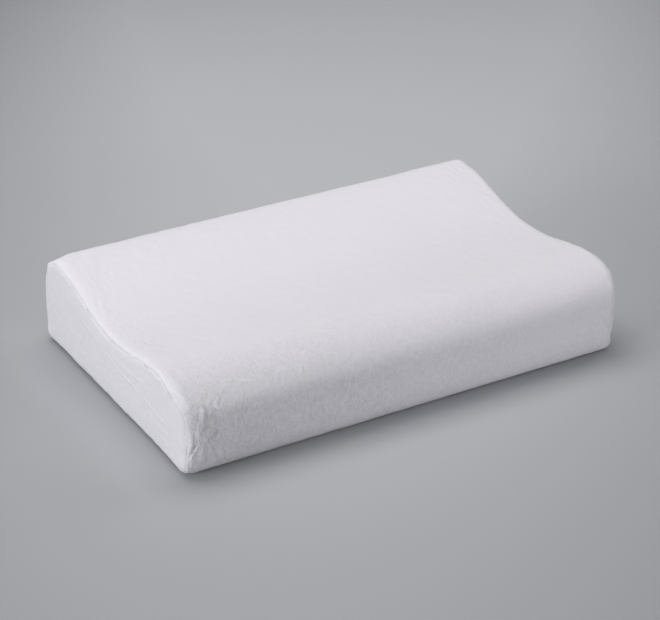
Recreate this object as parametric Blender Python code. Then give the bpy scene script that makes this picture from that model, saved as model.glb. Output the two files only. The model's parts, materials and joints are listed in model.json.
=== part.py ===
"""Contour memory-foam bed pillow with a zipped, sewn cover.

X runs along the pillow's length, +Y is the back, where the high lobe is, and
+Z is up. The origin is the middle of the flat base. A moulded foam core sits
in a thin knitted liner, and that in a velour cover: one panel wrapped round
the core, an S-shaped panel sewn on at each end, and a coil zip in the wrap
panel's join along the back wall.
"""

from math import cos, pi, radians, sin

import bmesh
import bpy
import numpy as np
from mathutils import Vector

# ---- section across the length (Y right, Z up), outer surface of the cover ----
LENGTH = 0.6000
HALF_WIDTH = 0.2045
HIGH_LOBE_Y, HIGH_LOBE_Z = 0.1520, 0.1265
VALLEY_Y, VALLEY_Z = 0.0000, 0.0955
LOW_LOBE_Y, LOW_LOBE_Z = -0.1395, 0.1105
BACK_WIDEST_Z, FRONT_WIDEST_Z = 0.0515, 0.0640
BACK_SHOULDER_POWER, FRONT_SHOULDER_POWER = 2.10, 2.20
BACK_FOOT_WIDTH, BACK_FOOT_POWER = 0.0210, 2.20
FRONT_FOOT_WIDTH, FRONT_FOOT_POWER = 0.0185, 2.50
BACK_SLOPE_SHIFT, FRONT_SLOPE_SHIFT = 1.10, 1.25

# ---- rounding where the long faces meet the two ends ----
END_ROUND_FRONT, END_ROUND_BACK = 0.0200, 0.0165
END_ROUND_TOP, END_ROUND_BASE = 0.0105, 0.0135
CORE_EXTRA_ROUND = 0.0080  # the core's own end edges are rounder than the cover's

# ---- layers, as depths under the outer surface ----
COVER_THICK = 0.0016
LINER_DEPTH, LINER_THICK = 0.0020, 0.0008
CORE_DEPTH = 0.0036
PANEL_GAP = 0.00035
THREAD_RADIUS = 0.00035

# ---- zip, in the back wall at its widest line ----
ZIP_LENGTH = 0.480
SLOT_HALF = 0.0055
TAPE_INNER, TAPE_OUTER = 0.0006, 0.0130
TAPE_DEPTH, TAPE_THICK = 0.0019, 0.0006
ZIP_RELIEF, RELIEF_FLAT, RELIEF_END = 0.0023, 0.0060, 0.0200
COIL_HALF_GAP, COIL_WIDTH, COIL_HEIGHT = 0.00055, 0.0024, 0.0020
COIL_SPINE, COIL_PITCH, COIL_TOOTH = 0.0009, 0.0060, 0.0028
CLEAR = 0.0003
SLIDER_LENGTH, SLIDER_HALF_WIDTH = 0.0110, 0.0045
PLATE_THICK, FLANGE_THICK, POST_THICK = 0.0010, 0.0010, 0.0005
BAIL_OPENING, BAIL_THICK, BAIL_WIDTH, BAIL_LENGTH = 0.0019, 0.0007, 0.0016, 0.0060
PULL_LENGTH, PULL_THICK, PULL_BAR = 0.0240, 0.0012, 0.0011
SLIDER_CLOSED_X = 0.2300
STITCH_ROW = 0.0078
LABEL_X, LABEL_WIDTH, LABEL_DROP = 0.2640, 0.0250, 0.0190

for thing in list(bpy.data.objects):
    bpy.data.objects.remove(thing, do_unlink=True)


# ---------------------------------------------------------------- materials
def material(name, colour, roughness, metallic=0.0):
    made = bpy.data.materials.new(name)
    made.use_nodes = True
    shader = made.node_tree.nodes["Principled BSDF"]
    shader.inputs["Base Color"].default_value = (*colour, 1.0)
    shader.inputs["Roughness"].default_value = roughness
    shader.inputs["Metallic"].default_value = metallic
    made.diffuse_color = (*colour, 1.0)
    return made


FOAM = material("memory_foam", (0.86, 0.83, 0.74), 0.90)
KNIT = material("liner_knit", (0.84, 0.84, 0.83), 0.85)
VELOUR = material("cover_velour", (0.74, 0.73, 0.77), 0.95)
THREAD = material("sewing_thread", (0.80, 0.79, 0.82), 0.60)
TAPE = material("zip_tape", (0.78, 0.77, 0.80), 0.80)
COIL = material("zip_coil", (0.82, 0.82, 0.84), 0.35)
PAINT = material("slider_paint", (0.80, 0.80, 0.82), 0.30)
SATIN = material("label_satin", (0.88, 0.88, 0.87), 0.45)


# ---------------------------------------------------------------- the section
def quarter(cy, cz, ry, rz, power, start, stop, count):
    """Points on a quarter of a superellipse, from angle start to stop, without the first."""
    points = []
    for angle in np.linspace(start, stop, count + 1)[1:]:
        c, s = cos(angle), sin(angle)
        points.append(
            (
                cy + ry * np.sign(c) * abs(c) ** (2 / power),
                cz + rz * np.sign(s) * abs(s) ** (2 / power),
            )
        )
    return points


def slope(y0, z0, y1, z1, shift, count):
    """A smooth S between two level points. shift moves its steepest place."""
    points = []
    for t in np.linspace(0, 1, count + 1)[1:]:
        u = t**shift
        points.append((y0 + (y1 - y0) * t, z0 + (z1 - z0) * u * u * (3 - 2 * u)))
    return points


def outline():
    """The section's outline, counter-clockwise from the base's back edge, closely spaced."""
    back_foot, front_foot = HALF_WIDTH - BACK_FOOT_WIDTH, HALF_WIDTH - FRONT_FOOT_WIDTH
    points = [(back_foot, 0.0)]
    points += quarter(back_foot, BACK_WIDEST_Z, BACK_FOOT_WIDTH, BACK_WIDEST_Z, BACK_FOOT_POWER, -pi / 2, 0, 200)
    points += quarter(HIGH_LOBE_Y, BACK_WIDEST_Z, HALF_WIDTH - HIGH_LOBE_Y, HIGH_LOBE_Z - BACK_WIDEST_Z, BACK_SHOULDER_POWER, 0, pi / 2, 240)
    points += slope(HIGH_LOBE_Y, HIGH_LOBE_Z, VALLEY_Y, VALLEY_Z, BACK_SLOPE_SHIFT, 200)
    points += slope(VALLEY_Y, VALLEY_Z, LOW_LOBE_Y, LOW_LOBE_Z, FRONT_SLOPE_SHIFT, 200)
    points += quarter(LOW_LOBE_Y, FRONT_WIDEST_Z, HALF_WIDTH + LOW_LOBE_Y, LOW_LOBE_Z - FRONT_WIDEST_Z, FRONT_SHOULDER_POWER, pi / 2, pi, 240)
    points += quarter(-front_foot, FRONT_WIDEST_Z, FRONT_FOOT_WIDTH, FRONT_WIDEST_Z, FRONT_FOOT_POWER, pi, 1.5 * pi, 200)
    for t in np.linspace(0, 1, 121)[1:-1]:
        points.append((-front_foot + (back_foot + front_foot) * t, 0.0))
    return np.array(points)


DENSE = outline()
DENSE_LOOP = np.vstack([DENSE, DENSE[:1]])
ALONG = np.r_[0, np.cumsum(np.linalg.norm(np.diff(DENSE_LOOP, axis=0), axis=1))]
PERIMETER = ALONG[-1]
back_wall = (DENSE[:, 0] > HALF_WIDTH - 0.002) & (DENSE[:, 1] > 0.02)
ZIP_S = float(np.interp(BACK_WIDEST_Z, DENSE[back_wall, 1], ALONG[:-1][back_wall]))


def point_at(s):
    s = np.mod(s, PERIMETER)
    return np.stack([np.interp(s, ALONG, DENSE_LOOP[:, i]) for i in (0, 1)], -1)


def normal_at(s):
    """Unit normals pointing out of the section."""
    step = point_at(s + 0.0015) - point_at(s - 0.0015)
    out = np.stack([step[..., 1], -step[..., 0]], -1)
    return out / np.linalg.norm(out, axis=-1, keepdims=True)


def stations(longest, widest_angle):
    """Places along the outline: closer where it bends, and always at the zip's own edges."""
    s = np.linspace(0, PERIMETER, 4001)
    heading = np.unwrap(np.arctan2(*normal_at(s).T[::-1]))
    bend = np.abs(np.gradient(heading, s))
    bend = np.convolve(np.r_[bend[-41:-1], bend, bend[1:41]], np.ones(21) / 21, "same")[40:-40]
    need = np.r_[0, np.cumsum((1 / longest + bend / widest_angle)[:-1] * np.diff(s))]
    count = int(round(need[-1]))
    spread = np.interp(np.arange(count) * need[-1] / count, need, s)
    edges = [0.0, TAPE_INNER, SLOT_HALF, 0.0092, TAPE_OUTER, 0.0165, RELIEF_END]
    fixed = sorted({ZIP_S + sign * e for e in edges[1:] for sign in (-1, 1)})
    free = [a for a in spread if abs(a - ZIP_S) > RELIEF_END + 0.004]
    return np.array(sorted(free + fixed))


S = stations(0.052, radians(13))
COUNT = len(S)
POINT, NORMAL = point_at(S), normal_at(S)
TO_ZIP = S - ZIP_S
ZIP_BAND = [k for k in range(COUNT) if abs(TO_ZIP[k]) < SLOT_HALF + 1e-5]

weight = np.clip(np.c_[-NORMAL[:, 0], NORMAL[:, 0], NORMAL[:, 1], -NORMAL[:, 1]], 0, 1) ** 2
END_ROUND = weight @ np.array([END_ROUND_FRONT, END_ROUND_BACK, END_ROUND_TOP, END_ROUND_BASE])

# Where on that rounding the end panel's seam runs: half way round it down the sides and along the
# base, and drawn over towards the end along the top, most of all at the front shoulder.
SEAM_ANGLE = radians(45) + radians(17) * weight[:, 2]
SEAM_ANGLE += radians(25) * np.exp(-(((POINT[:, 0] + 0.170) / 0.026) ** 2)) * np.clip(POINT[:, 1] / 0.06, 0, 1)
LINER_SEAM_ANGLE = radians(45) + 0 * SEAM_ANGLE  # the liner's stays half way round, where it has the most room

# The rounding leans in towards a line through the middle of the section, so no two points cross.
middle_y = np.clip(POINT[:, 0], -HALF_WIDTH + 0.055, HALF_WIDTH - 0.055)
middle_z = 0.5 * np.interp(middle_y, [LOW_LOBE_Y, VALLEY_Y, HIGH_LOBE_Y], [LOW_LOBE_Z, VALLEY_Z, HIGH_LOBE_Z])
INWARD = np.c_[middle_y, middle_z] - POINT
INWARD /= np.linalg.norm(INWARD, axis=1)[:, None]

fade = np.clip((np.abs(TO_ZIP) - RELIEF_FLAT) / (RELIEF_END - RELIEF_FLAT), 0, 1)
RELIEF = ZIP_RELIEF * np.cos(fade * pi / 2) ** 2  # core and liner give way behind the zip


def ring_at(x, depth, relief=False):
    """The outline at one place along the length, depth under the outer surface."""
    d = depth + (RELIEF if relief else 0 * RELIEF)
    yz = POINT - NORMAL * d[:, None]
    return [Vector((x, y, z)) for y, z in yz]


def end_ring(side, angle, depth, extra=0.0, relief=False, shift=0.0):
    """The outline on the end rounding: angle 0 is the long faces, a quarter turn the end face.
    shift moves it that far along the surface, towards the end."""
    r = END_ROUND + extra
    a = angle + shift / r
    d = depth + (RELIEF if relief else 0 * RELIEF)
    yz = POINT - NORMAL * (d * np.cos(a))[:, None] + INWARD * (r * (1 - np.cos(a)))[:, None]
    x = side * (LENGTH / 2 - r + (r - depth) * np.sin(a))
    return [Vector((u, y, z)) for u, (y, z) in zip(x, yz)]


# ---------------------------------------------------------------- mesh helpers
def link(name, mesh, paint, smooth=True, sharp=35):
    made = bpy.data.objects.new(name, mesh)
    bpy.context.scene.collection.objects.link(made)
    mesh.materials.append(paint)
    if smooth:
        mesh.shade_smooth()
        mesh.set_sharp_from_angle(angle=radians(sharp))
    return made


def from_bmesh(name, bm, paint, smooth=True, sharp=35):
    bmesh.ops.recalc_face_normals(bm, faces=bm.faces)
    mesh = bpy.data.meshes.new(name)
    bm.to_mesh(mesh)
    bm.free()
    return link(name, mesh, paint, smooth, sharp)


def fabric(name, outer, inner, faces, paint):
    """A closed panel of cloth between two matching skins. faces index the outer one."""
    bm = bmesh.new()
    out = [bm.verts.new(p) for p in outer]
    back = [bm.verts.new(p) for p in inner]
    edges = set()
    for face in faces:
        bm.faces.new([out[k] for k in face])
        bm.faces.new([back[k] for k in reversed(face)])
        edges |= set(zip(face, face[1:] + face[:1]))
    for a, b in sorted(edges):
        if (b, a) not in edges:
            bm.faces.new([out[b], out[a], back[a], back[b]])
    return from_bmesh(name, bm, paint)


def between_rings(ring_count, leave_out=lambda ring, k: False):
    """Quads joining neighbouring rings of COUNT points."""
    faces = []
    for ring in range(ring_count - 1):
        for k in range(COUNT):
            if not leave_out(ring, k):
                a, b = ring * COUNT + k, ring * COUNT + (k + 1) % COUNT
                faces.append([a, a + COUNT, b + COUNT, b])
    return faces


def wrap_panel(name, depth, thick, paint, extra, relief, slot):
    """The panel that goes round the long faces, from one end seam to the other."""
    seam = LINER_SEAM_ANGLE if extra else SEAM_ANGLE
    angles = [seam, seam / 2, 0.0]

    def skin(d):
        rings = [end_ring(-1, a, d, extra, relief) for a in angles]
        if slot:
            rings += [ring_at(-ZIP_LENGTH / 2, d), ring_at(ZIP_LENGTH / 2, d)]
        rings += [end_ring(1, a, d, extra, relief) for a in reversed(angles)]
        return [p for ring in rings for p in ring], len(rings)

    outer, count = skin(depth)
    inner, _ = skin(depth + thick)
    open_here = (lambda ring, k: slot and ring == 3 and k in ZIP_BAND[:-1])
    return fabric(name, outer, inner, between_rings(count, open_here), paint)


def end_panel(name, side, depth, thick, paint, extra, relief):
    """The S-shaped end panel, from its seam over the rounding to the flat end."""
    seam = LINER_SEAM_ANGLE if extra else SEAM_ANGLE
    steps = [seam, (seam + pi / 2) / 2, pi / 2]
    shifts = [PANEL_GAP, 0.0, 0.0]

    def skin(d):
        return [p for a, gap in zip(steps, shifts) for p in end_ring(side, a, d, extra, relief, gap)]

    faces = between_rings(len(steps))
    cap = [2 * COUNT + k for k in range(COUNT)]
    faces.append(cap[::-1])
    return fabric(name, skin(depth), skin(depth + thick), faces, paint)


def thread_loop(name, side, depth, extra, relief, paint, radius):
    """A closed run of seam thread just under an end seam."""
    path = end_ring(side, LINER_SEAM_ANGLE if extra else SEAM_ANGLE, depth, extra, relief)
    return tube(name, path, radius, paint, closed=True)


def tube(name, path, radius, paint, closed=False):
    curve = bpy.data.curves.new(name, "CURVE")
    curve.dimensions = "3D"
    curve.bevel_depth = radius
    curve.bevel_resolution = 1
    curve.use_fill_caps = not closed
    line = curve.splines.new("POLY")
    line.points.add(len(path) - 1)
    for spot, p in zip(line.points, path):
        spot.co = (*p, 1.0)
    line.use_cyclic_u = closed
    made = bpy.data.objects.new(name, curve)
    bpy.context.scene.collection.objects.link(made)
    curve.materials.append(paint)
    return made


def block(name, low, high, paint, bevel=0.0, helper=False):
    """A box with its own origin in its middle, its edges rounded by a Bevel."""
    low, high = Vector(low), Vector(high)
    bm = bmesh.new()
    bmesh.ops.create_cube(bm, size=1.0)
    for v in bm.verts:
        v.co = Vector(a * b for a, b in zip(v.co, high - low))
    made = from_bmesh(name, bm, paint, smooth=bevel > 0, sharp=60)
    made.location = (low + high) / 2
    if bevel:
        rounding = made.modifiers.new("rounding", "BEVEL")
        rounding.width = bevel
        rounding.segments = 2
    if helper:
        made.hide_render = True
        made.display_type = "WIRE"
    return made


def union(target, *others):
    for other in others:
        joined = target.modifiers.new("join_" + other.name, "BOOLEAN")
        joined.operation = "UNION"
        joined.solver = "EXACT"
        joined.object = other


# ---------------------------------------------------------------- foam core
def foam_core():
    seam = LINER_SEAM_ANGLE
    angles = [pi / 2, (seam + pi / 2) / 2, seam, seam / 2, 0.0]
    rings = [end_ring(-1, a, CORE_DEPTH, CORE_EXTRA_ROUND, True) for a in angles]
    rings += [end_ring(1, a, CORE_DEPTH, CORE_EXTRA_ROUND, True) for a in reversed(angles)]
    bm = bmesh.new()
    verts = [bm.verts.new(p) for ring in rings for p in ring]
    for face in between_rings(len(rings)):
        bm.faces.new([verts[k] for k in face])
    bm.faces.new(verts[:COUNT])
    bm.faces.new(verts[-COUNT:][::-1])
    return from_bmesh("foam_core", bm, FOAM)


foam_core()

# ---------------------------------------------------------------- liner
wrap_panel("liner_wrap", LINER_DEPTH, LINER_THICK, KNIT, CORE_EXTRA_ROUND, True, False)
end_panel("liner_left_end", -1, LINER_DEPTH, LINER_THICK, KNIT, CORE_EXTRA_ROUND, True)
end_panel("liner_right_end", 1, LINER_DEPTH, LINER_THICK, KNIT, CORE_EXTRA_ROUND, True)
# The liner's seams turn outwards, into the room the cover's sharper edge leaves.
LINER_SEAM_DEPTH = LINER_DEPTH - CLEAR - THREAD_RADIUS
thread_loop("liner_left_seam_thread", -1, LINER_SEAM_DEPTH, CORE_EXTRA_ROUND, True, THREAD, THREAD_RADIUS)
thread_loop("liner_right_seam_thread", 1, LINER_SEAM_DEPTH, CORE_EXTRA_ROUND, True, THREAD, THREAD_RADIUS)

# ---------------------------------------------------------------- cover
wrap_panel("cover_wrap", 0.0, COVER_THICK, VELOUR, 0.0, False, True)
end_panel("cover_left_end", -1, 0.0, COVER_THICK, VELOUR, 0.0, False)
end_panel("cover_right_end", 1, 0.0, COVER_THICK, VELOUR, 0.0, False)
COVER_SEAM_DEPTH = COVER_THICK + CLEAR + THREAD_RADIUS
thread_loop("left_end_seam_thread", -1, COVER_SEAM_DEPTH, 0.0, False, THREAD, THREAD_RADIUS)
thread_loop("right_end_seam_thread", 1, COVER_SEAM_DEPTH, 0.0, False, THREAD, THREAD_RADIUS)

# ---------------------------------------------------------------- zip
WALL_Y = float(point_at(ZIP_S)[0])
TAPE_X = ZIP_LENGTH / 2 + 0.005


def out_y(depth):
    """World Y at a depth under the back wall's widest line; negative stands proud."""
    return WALL_Y - depth


def wall_strip(name, s_from, s_to, x_from, x_to, depth, thick, paint, ends=2):
    """A flat strip that follows the back wall between two places on its outline."""
    inside = [s for s in S if s_from + 1e-5 < s < s_to - 1e-5]
    line = np.array([s_from, *inside, s_to])
    p, n = point_at(line), normal_at(line)

    def skin(d):
        return [Vector((x, *(p[k] - n[k] * d))) for x in np.linspace(x_from, x_to, ends) for k in range(len(line))]

    wide = len(line)
    faces = []
    for i in range(ends - 1):
        for k in range(wide - 1):
            a = i * wide + k
            faces.append([a, a + wide, a + wide + 1, a + 1])
    return fabric(name, skin(depth), skin(depth + thick), faces, paint)


wall_strip("zip_tape_upper", ZIP_S + TAPE_INNER, ZIP_S + TAPE_OUTER, -TAPE_X, TAPE_X, TAPE_DEPTH, TAPE_THICK, TAPE)
wall_strip("zip_tape_lower", ZIP_S - TAPE_OUTER, ZIP_S - TAPE_INNER, -TAPE_X, TAPE_X, TAPE_DEPTH, TAPE_THICK, TAPE)

COIL_BOTTOM = TAPE_DEPTH - CLEAR
COIL_TOP = COIL_BOTTOM - COIL_HEIGHT
COIL_FROM, COIL_TO = -0.2350, 0.2360


def coil(name, side, phase):
    """One half of the chain: a spine along the tape with teeth towards the other half."""
    z_in = side * COIL_HALF_GAP
    z_root = side * (COIL_HALF_GAP + COIL_WIDTH - COIL_SPINE)
    z_out = side * (COIL_HALF_GAP + COIL_WIDTH)
    edge = [(COIL_FROM, z_root)]
    x = COIL_FROM + 0.0012 + phase
    while x + COIL_TOOTH < COIL_TO - 0.0008:
        taper = 0.18 * COIL_TOOTH
        edge += [(x, z_root), (x + taper, z_in), (x + COIL_TOOTH - taper, z_in), (x + COIL_TOOTH, z_root)]
        x += COIL_PITCH
    edge += [(COIL_TO, z_root), (COIL_TO, z_out), (COIL_FROM, z_out)]
    bm = bmesh.new()
    face = bm.faces.new([bm.verts.new((x, out_y(COIL_BOTTOM), BACK_WIDEST_Z + z)) for x, z in edge])
    grown = bmesh.ops.extrude_face_region(bm, geom=[face])
    bmesh.ops.translate(bm, vec=(0, COIL_HEIGHT, 0), verts=[g for g in grown["geom"] if isinstance(g, bmesh.types.BMVert)])
    return from_bmesh(name, bm, COIL, smooth=False)


coil("zip_coil_upper", 1, 0.0)
coil("zip_coil_lower", -1, COIL_PITCH / 2)

STOP_IN, STOP_OUT = 0.0007, 0.0033
for name, sign in (("zip_top_stop_upper", 1), ("zip_top_stop_lower", -1)):
    z0, z1 = sorted((BACK_WIDEST_Z + sign * STOP_IN, BACK_WIDEST_Z + sign * STOP_OUT))
    block(name, (COIL_TO + CLEAR, out_y(COIL_BOTTOM), z0), (COIL_TO + CLEAR + 0.0020, out_y(COIL_TOP - 0.0002), z1), COIL, 0.0004)
block(
    "zip_bottom_stop",
    (COIL_FROM - CLEAR - 0.0028, out_y(COIL_BOTTOM), BACK_WIDEST_Z - STOP_OUT),
    (COIL_FROM - CLEAR, out_y(COIL_TOP - 0.0002), BACK_WIDEST_Z + STOP_OUT),
    COIL,
    0.0004,
)

# ---- slider: shaped top plate with side flanges, flat back plate, post and bail ----
TOP_PLATE_IN = COIL_TOP - CLEAR
TOP_PLATE_OUT = TOP_PLATE_IN - PLATE_THICK
BACK_PLATE_IN = TAPE_DEPTH + TAPE_THICK + CLEAR
FLANGE_END = TAPE_DEPTH - CLEAR


def slider():
    half = SLIDER_LENGTH / 2
    bm = bmesh.new()
    loops = []
    for x, w in ((-half, 0.0042), (-half * 0.3, 0.0043), (half * 0.35, SLIDER_HALF_WIDTH), (half, SLIDER_HALF_WIDTH - 0.0002)):
        inner = w - FLANGE_THICK + 0.0001
        section = [(-w, FLANGE_END), (-w, TOP_PLATE_OUT), (w, TOP_PLATE_OUT), (w, FLANGE_END), (inner, FLANGE_END), (inner, TOP_PLATE_IN), (-inner, TOP_PLATE_IN), (-inner, FLANGE_END)]
        loops.append([bm.verts.new((x, -d, z)) for z, d in section])
    for a, b in zip(loops, loops[1:]):
        for k in range(8):
            bm.faces.new([a[k], a[(k + 1) % 8], b[(k + 1) % 8], b[k]])
    bm.faces.new(loops[0][::-1])
    bm.faces.new(loops[-1])
    made = from_bmesh("zip_slider", bm, PAINT, sharp=40)
    made.location = (SLIDER_CLOSED_X, WALL_Y, BACK_WIDEST_Z)

    def part(name, low, high):
        piece = block(name, low, high, PAINT, helper=True)
        piece.parent = made
        return piece

    back_plate = part("slider_back_plate", (-half, -BACK_PLATE_IN - PLATE_THICK, -0.0041), (half, -BACK_PLATE_IN, 0.0041))
    post = part(
        "slider_post",
        (0.0012, -BACK_PLATE_IN - PLATE_THICK / 2, -POST_THICK / 2),
        (half - 0.0004, -TOP_PLATE_IN + PLATE_THICK / 2, POST_THICK / 2),
    )
    leg = BAIL_LENGTH / 2
    foot, top = -TOP_PLATE_OUT - PLATE_THICK / 2, -TOP_PLATE_OUT + BAIL_OPENING
    bail = part("slider_bail_front", (leg - BAIL_THICK, foot, -BAIL_WIDTH / 2), (leg, top + BAIL_THICK / 2, BAIL_WIDTH / 2))
    bail_rear = part("slider_bail_rear", (-leg, foot, -BAIL_WIDTH / 2), (-leg + BAIL_THICK, top + BAIL_THICK / 2, BAIL_WIDTH / 2))
    bail_top = part("slider_bail_top", (-leg, top, -BAIL_WIDTH / 2), (leg, top + BAIL_THICK, BAIL_WIDTH / 2))
    union(made, back_plate, post, bail, bail_rear, bail_top)
    return made


zip_slider = slider()
HINGE_OUT = -TOP_PLATE_OUT + BAIL_OPENING / 2  # middle of the bail's opening, out from the wall


def pull():
    """The pull tab: an eye round the bail, then a tapered tab. Its origin is on the eye bar's axis."""
    bar, arm, eye_end = PULL_BAR / 2, 0.0012, 0.0044
    edge = [(bar, -0.0025), (bar, 0.0025), (-0.0060, 0.0025), (-0.0090, 0.0021)]
    edge += [(-0.0150, 0.0026)]
    tip = PULL_LENGTH - 0.0030
    for angle in np.linspace(pi / 2, 1.5 * pi, 9):
        edge.append((-tip + 0.0030 * cos(angle), 0.0030 * sin(angle)))
    edge += [(-0.0150, -0.0026), (-0.0090, -0.0021), (-0.0060, -0.0025)]
    bm = bmesh.new()
    face = bm.faces.new([bm.verts.new((x, -PULL_THICK / 2, z)) for x, z in edge])
    grown = bmesh.ops.extrude_face_region(bm, geom=[face])
    bmesh.ops.translate(bm, vec=(0, PULL_THICK, 0), verts=[g for g in grown["geom"] if isinstance(g, bmesh.types.BMVert)])
    made = from_bmesh("zip_pull", bm, PAINT, sharp=40)
    made.parent = zip_slider
    made.location = (0, HINGE_OUT, 0)
    eye = block("pull_eye", (-eye_end, -0.002, -arm), (-bar, 0.002, arm), PAINT, helper=True)
    eye.parent = made
    cut = made.modifiers.new("eye", "BOOLEAN")
    cut.operation = "DIFFERENCE"
    cut.solver = "EXACT"
    cut.object = eye
    rounding = made.modifiers.new("rounding", "BEVEL")
    rounding.width = 0.00018
    rounding.segments = 1
    rounding.limit_method = "ANGLE"
    rounding.angle_limit = radians(50)
    return made


pull()

# ---------------------------------------------------------------- stitching and label
ROW_X = ZIP_LENGTH / 2 + 0.0008
for name, sign in (("zip_stitch_upper", 1), ("zip_stitch_lower", -1)):
    s = ZIP_S + sign * STITCH_ROW
    y, z = point_at(s) + normal_at(s) * (CLEAR + 0.00025)
    tube(name, [(-ROW_X, y, z), (0, y, z), (ROW_X, y, z)], 0.00025, THREAD)

for name, x in (("zip_bartack_left", -0.2425), ("zip_bartack_right", 0.2425)):
    wall_strip(name, ZIP_S - 0.0088, ZIP_S + 0.0088, x - 0.0010, x + 0.0010, -0.0009, 0.0006, THREAD)

for name, sign in (("back_seam_thread_left", -1), ("back_seam_thread_right", 1)):
    y, z = point_at(ZIP_S) - normal_at(ZIP_S) * COVER_SEAM_DEPTH
    tube(name, [(sign * x, y, z) for x in (0.2460, 0.2640, 0.2820)], THREAD_RADIUS, THREAD)

wall_strip("care_label", ZIP_S - LABEL_DROP, ZIP_S - 0.0004, LABEL_X - LABEL_WIDTH / 2, LABEL_X + LABEL_WIDTH / 2, -0.0009, 0.0006, SATIN)
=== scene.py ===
"""Looks for the contour memory-foam pillow: a sewn velour cover over a lined foam core, with a coil zip in the back wall.

Everything is in metres in the part's own frame: X along the length, +Y the back with the high lobe, +Z up.
"""

import json
from math import cos, pi, radians, sin

import bmesh
import bpy
import numpy as np
from mathutils import Matrix, Vector


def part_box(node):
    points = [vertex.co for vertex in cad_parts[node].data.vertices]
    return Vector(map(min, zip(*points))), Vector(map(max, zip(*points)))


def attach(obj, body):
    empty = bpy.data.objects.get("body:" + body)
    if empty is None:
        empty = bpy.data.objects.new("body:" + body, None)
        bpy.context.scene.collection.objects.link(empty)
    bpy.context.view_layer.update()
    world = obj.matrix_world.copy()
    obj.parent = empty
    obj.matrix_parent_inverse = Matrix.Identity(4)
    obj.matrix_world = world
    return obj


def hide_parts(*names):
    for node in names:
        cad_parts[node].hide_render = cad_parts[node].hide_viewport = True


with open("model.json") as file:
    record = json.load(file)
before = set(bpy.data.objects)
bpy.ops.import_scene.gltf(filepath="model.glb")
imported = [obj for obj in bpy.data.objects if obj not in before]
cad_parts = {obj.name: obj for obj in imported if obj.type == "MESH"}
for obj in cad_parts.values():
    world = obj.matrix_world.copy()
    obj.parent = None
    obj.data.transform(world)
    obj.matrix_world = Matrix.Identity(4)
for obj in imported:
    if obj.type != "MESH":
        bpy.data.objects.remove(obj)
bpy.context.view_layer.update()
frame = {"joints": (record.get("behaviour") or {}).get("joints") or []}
scene = bpy.context.scene

# =====================================================================================
# The section and the end roundings, as the CAD has them
# =====================================================================================
LEFT_END, RIGHT_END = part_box("cover_left_end"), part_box("cover_right_end")
LENGTH = RIGHT_END[1].x - LEFT_END[0].x
HALF_WIDTH = 0.2045
HIGH_LOBE_Y, HIGH_LOBE_Z = 0.1520, 0.1265
VALLEY_Y, VALLEY_Z = 0.0000, 0.0955
LOW_LOBE_Y, LOW_LOBE_Z = -0.1395, 0.1105
BACK_WIDEST_Z, FRONT_WIDEST_Z = 0.0515, 0.0640
BACK_SHOULDER_POWER, FRONT_SHOULDER_POWER = 2.10, 2.20
BACK_FOOT_WIDTH, BACK_FOOT_POWER = 0.0210, 2.20
FRONT_FOOT_WIDTH, FRONT_FOOT_POWER = 0.0185, 2.50
BACK_SLOPE_SHIFT, FRONT_SLOPE_SHIFT = 1.10, 1.25
END_ROUND = {"front": 0.0200, "back": 0.0165, "top": 0.0105, "base": 0.0135}
CORE_EXTRA_ROUND = 0.0080
COVER_THICK = 0.0016
LINER_DEPTH, LINER_THICK = 0.0020, 0.0008
CORE_DEPTH = 0.0036
PANEL_GAP = 0.00035
ZIP_LENGTH, SLOT_HALF = 0.480, 0.0055
TAPE_INNER, TAPE_OUTER, TAPE_DEPTH, TAPE_THICK = 0.0006, 0.0130, 0.0019, 0.0006
ZIP_RELIEF, RELIEF_FLAT, RELIEF_END = 0.0023, 0.0060, 0.0200
STITCH_ROW = 0.0078

wrap_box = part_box("cover_wrap")
assert abs(wrap_box[1].y - HALF_WIDTH) < 0.001 and abs(wrap_box[1].z - HIGH_LOBE_Z) < 0.001, "the section differs from the packed part"


def quarter(cy, cz, ry, rz, power, start, stop, count):
    angle = np.linspace(start, stop, count + 1)[1:]
    c, s = np.cos(angle), np.sin(angle)
    return np.c_[cy + ry * np.sign(c) * np.abs(c) ** (2 / power), cz + rz * np.sign(s) * np.abs(s) ** (2 / power)]


def slope(y0, z0, y1, z1, shift, count):
    t = np.linspace(0, 1, count + 1)[1:]
    u = t**shift
    return np.c_[y0 + (y1 - y0) * t, z0 + (z1 - z0) * u * u * (3 - 2 * u)]


BACK_FOOT, FRONT_FOOT = HALF_WIDTH - BACK_FOOT_WIDTH, HALF_WIDTH - FRONT_FOOT_WIDTH
DENSE = np.vstack([
    [[BACK_FOOT, 0.0]],
    quarter(BACK_FOOT, BACK_WIDEST_Z, BACK_FOOT_WIDTH, BACK_WIDEST_Z, BACK_FOOT_POWER, -pi / 2, 0, 200),
    quarter(HIGH_LOBE_Y, BACK_WIDEST_Z, HALF_WIDTH - HIGH_LOBE_Y, HIGH_LOBE_Z - BACK_WIDEST_Z, BACK_SHOULDER_POWER, 0, pi / 2, 240),
    slope(HIGH_LOBE_Y, HIGH_LOBE_Z, VALLEY_Y, VALLEY_Z, BACK_SLOPE_SHIFT, 200),
    slope(VALLEY_Y, VALLEY_Z, LOW_LOBE_Y, LOW_LOBE_Z, FRONT_SLOPE_SHIFT, 200),
    quarter(LOW_LOBE_Y, FRONT_WIDEST_Z, HALF_WIDTH + LOW_LOBE_Y, LOW_LOBE_Z - FRONT_WIDEST_Z, FRONT_SHOULDER_POWER, pi / 2, pi, 240),
    quarter(-FRONT_FOOT, FRONT_WIDEST_Z, FRONT_FOOT_WIDTH, FRONT_WIDEST_Z, FRONT_FOOT_POWER, pi, 1.5 * pi, 200),
    [[-FRONT_FOOT + (BACK_FOOT + FRONT_FOOT) * t, 0.0] for t in np.linspace(0, 1, 121)[1:-1]],
])
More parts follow.
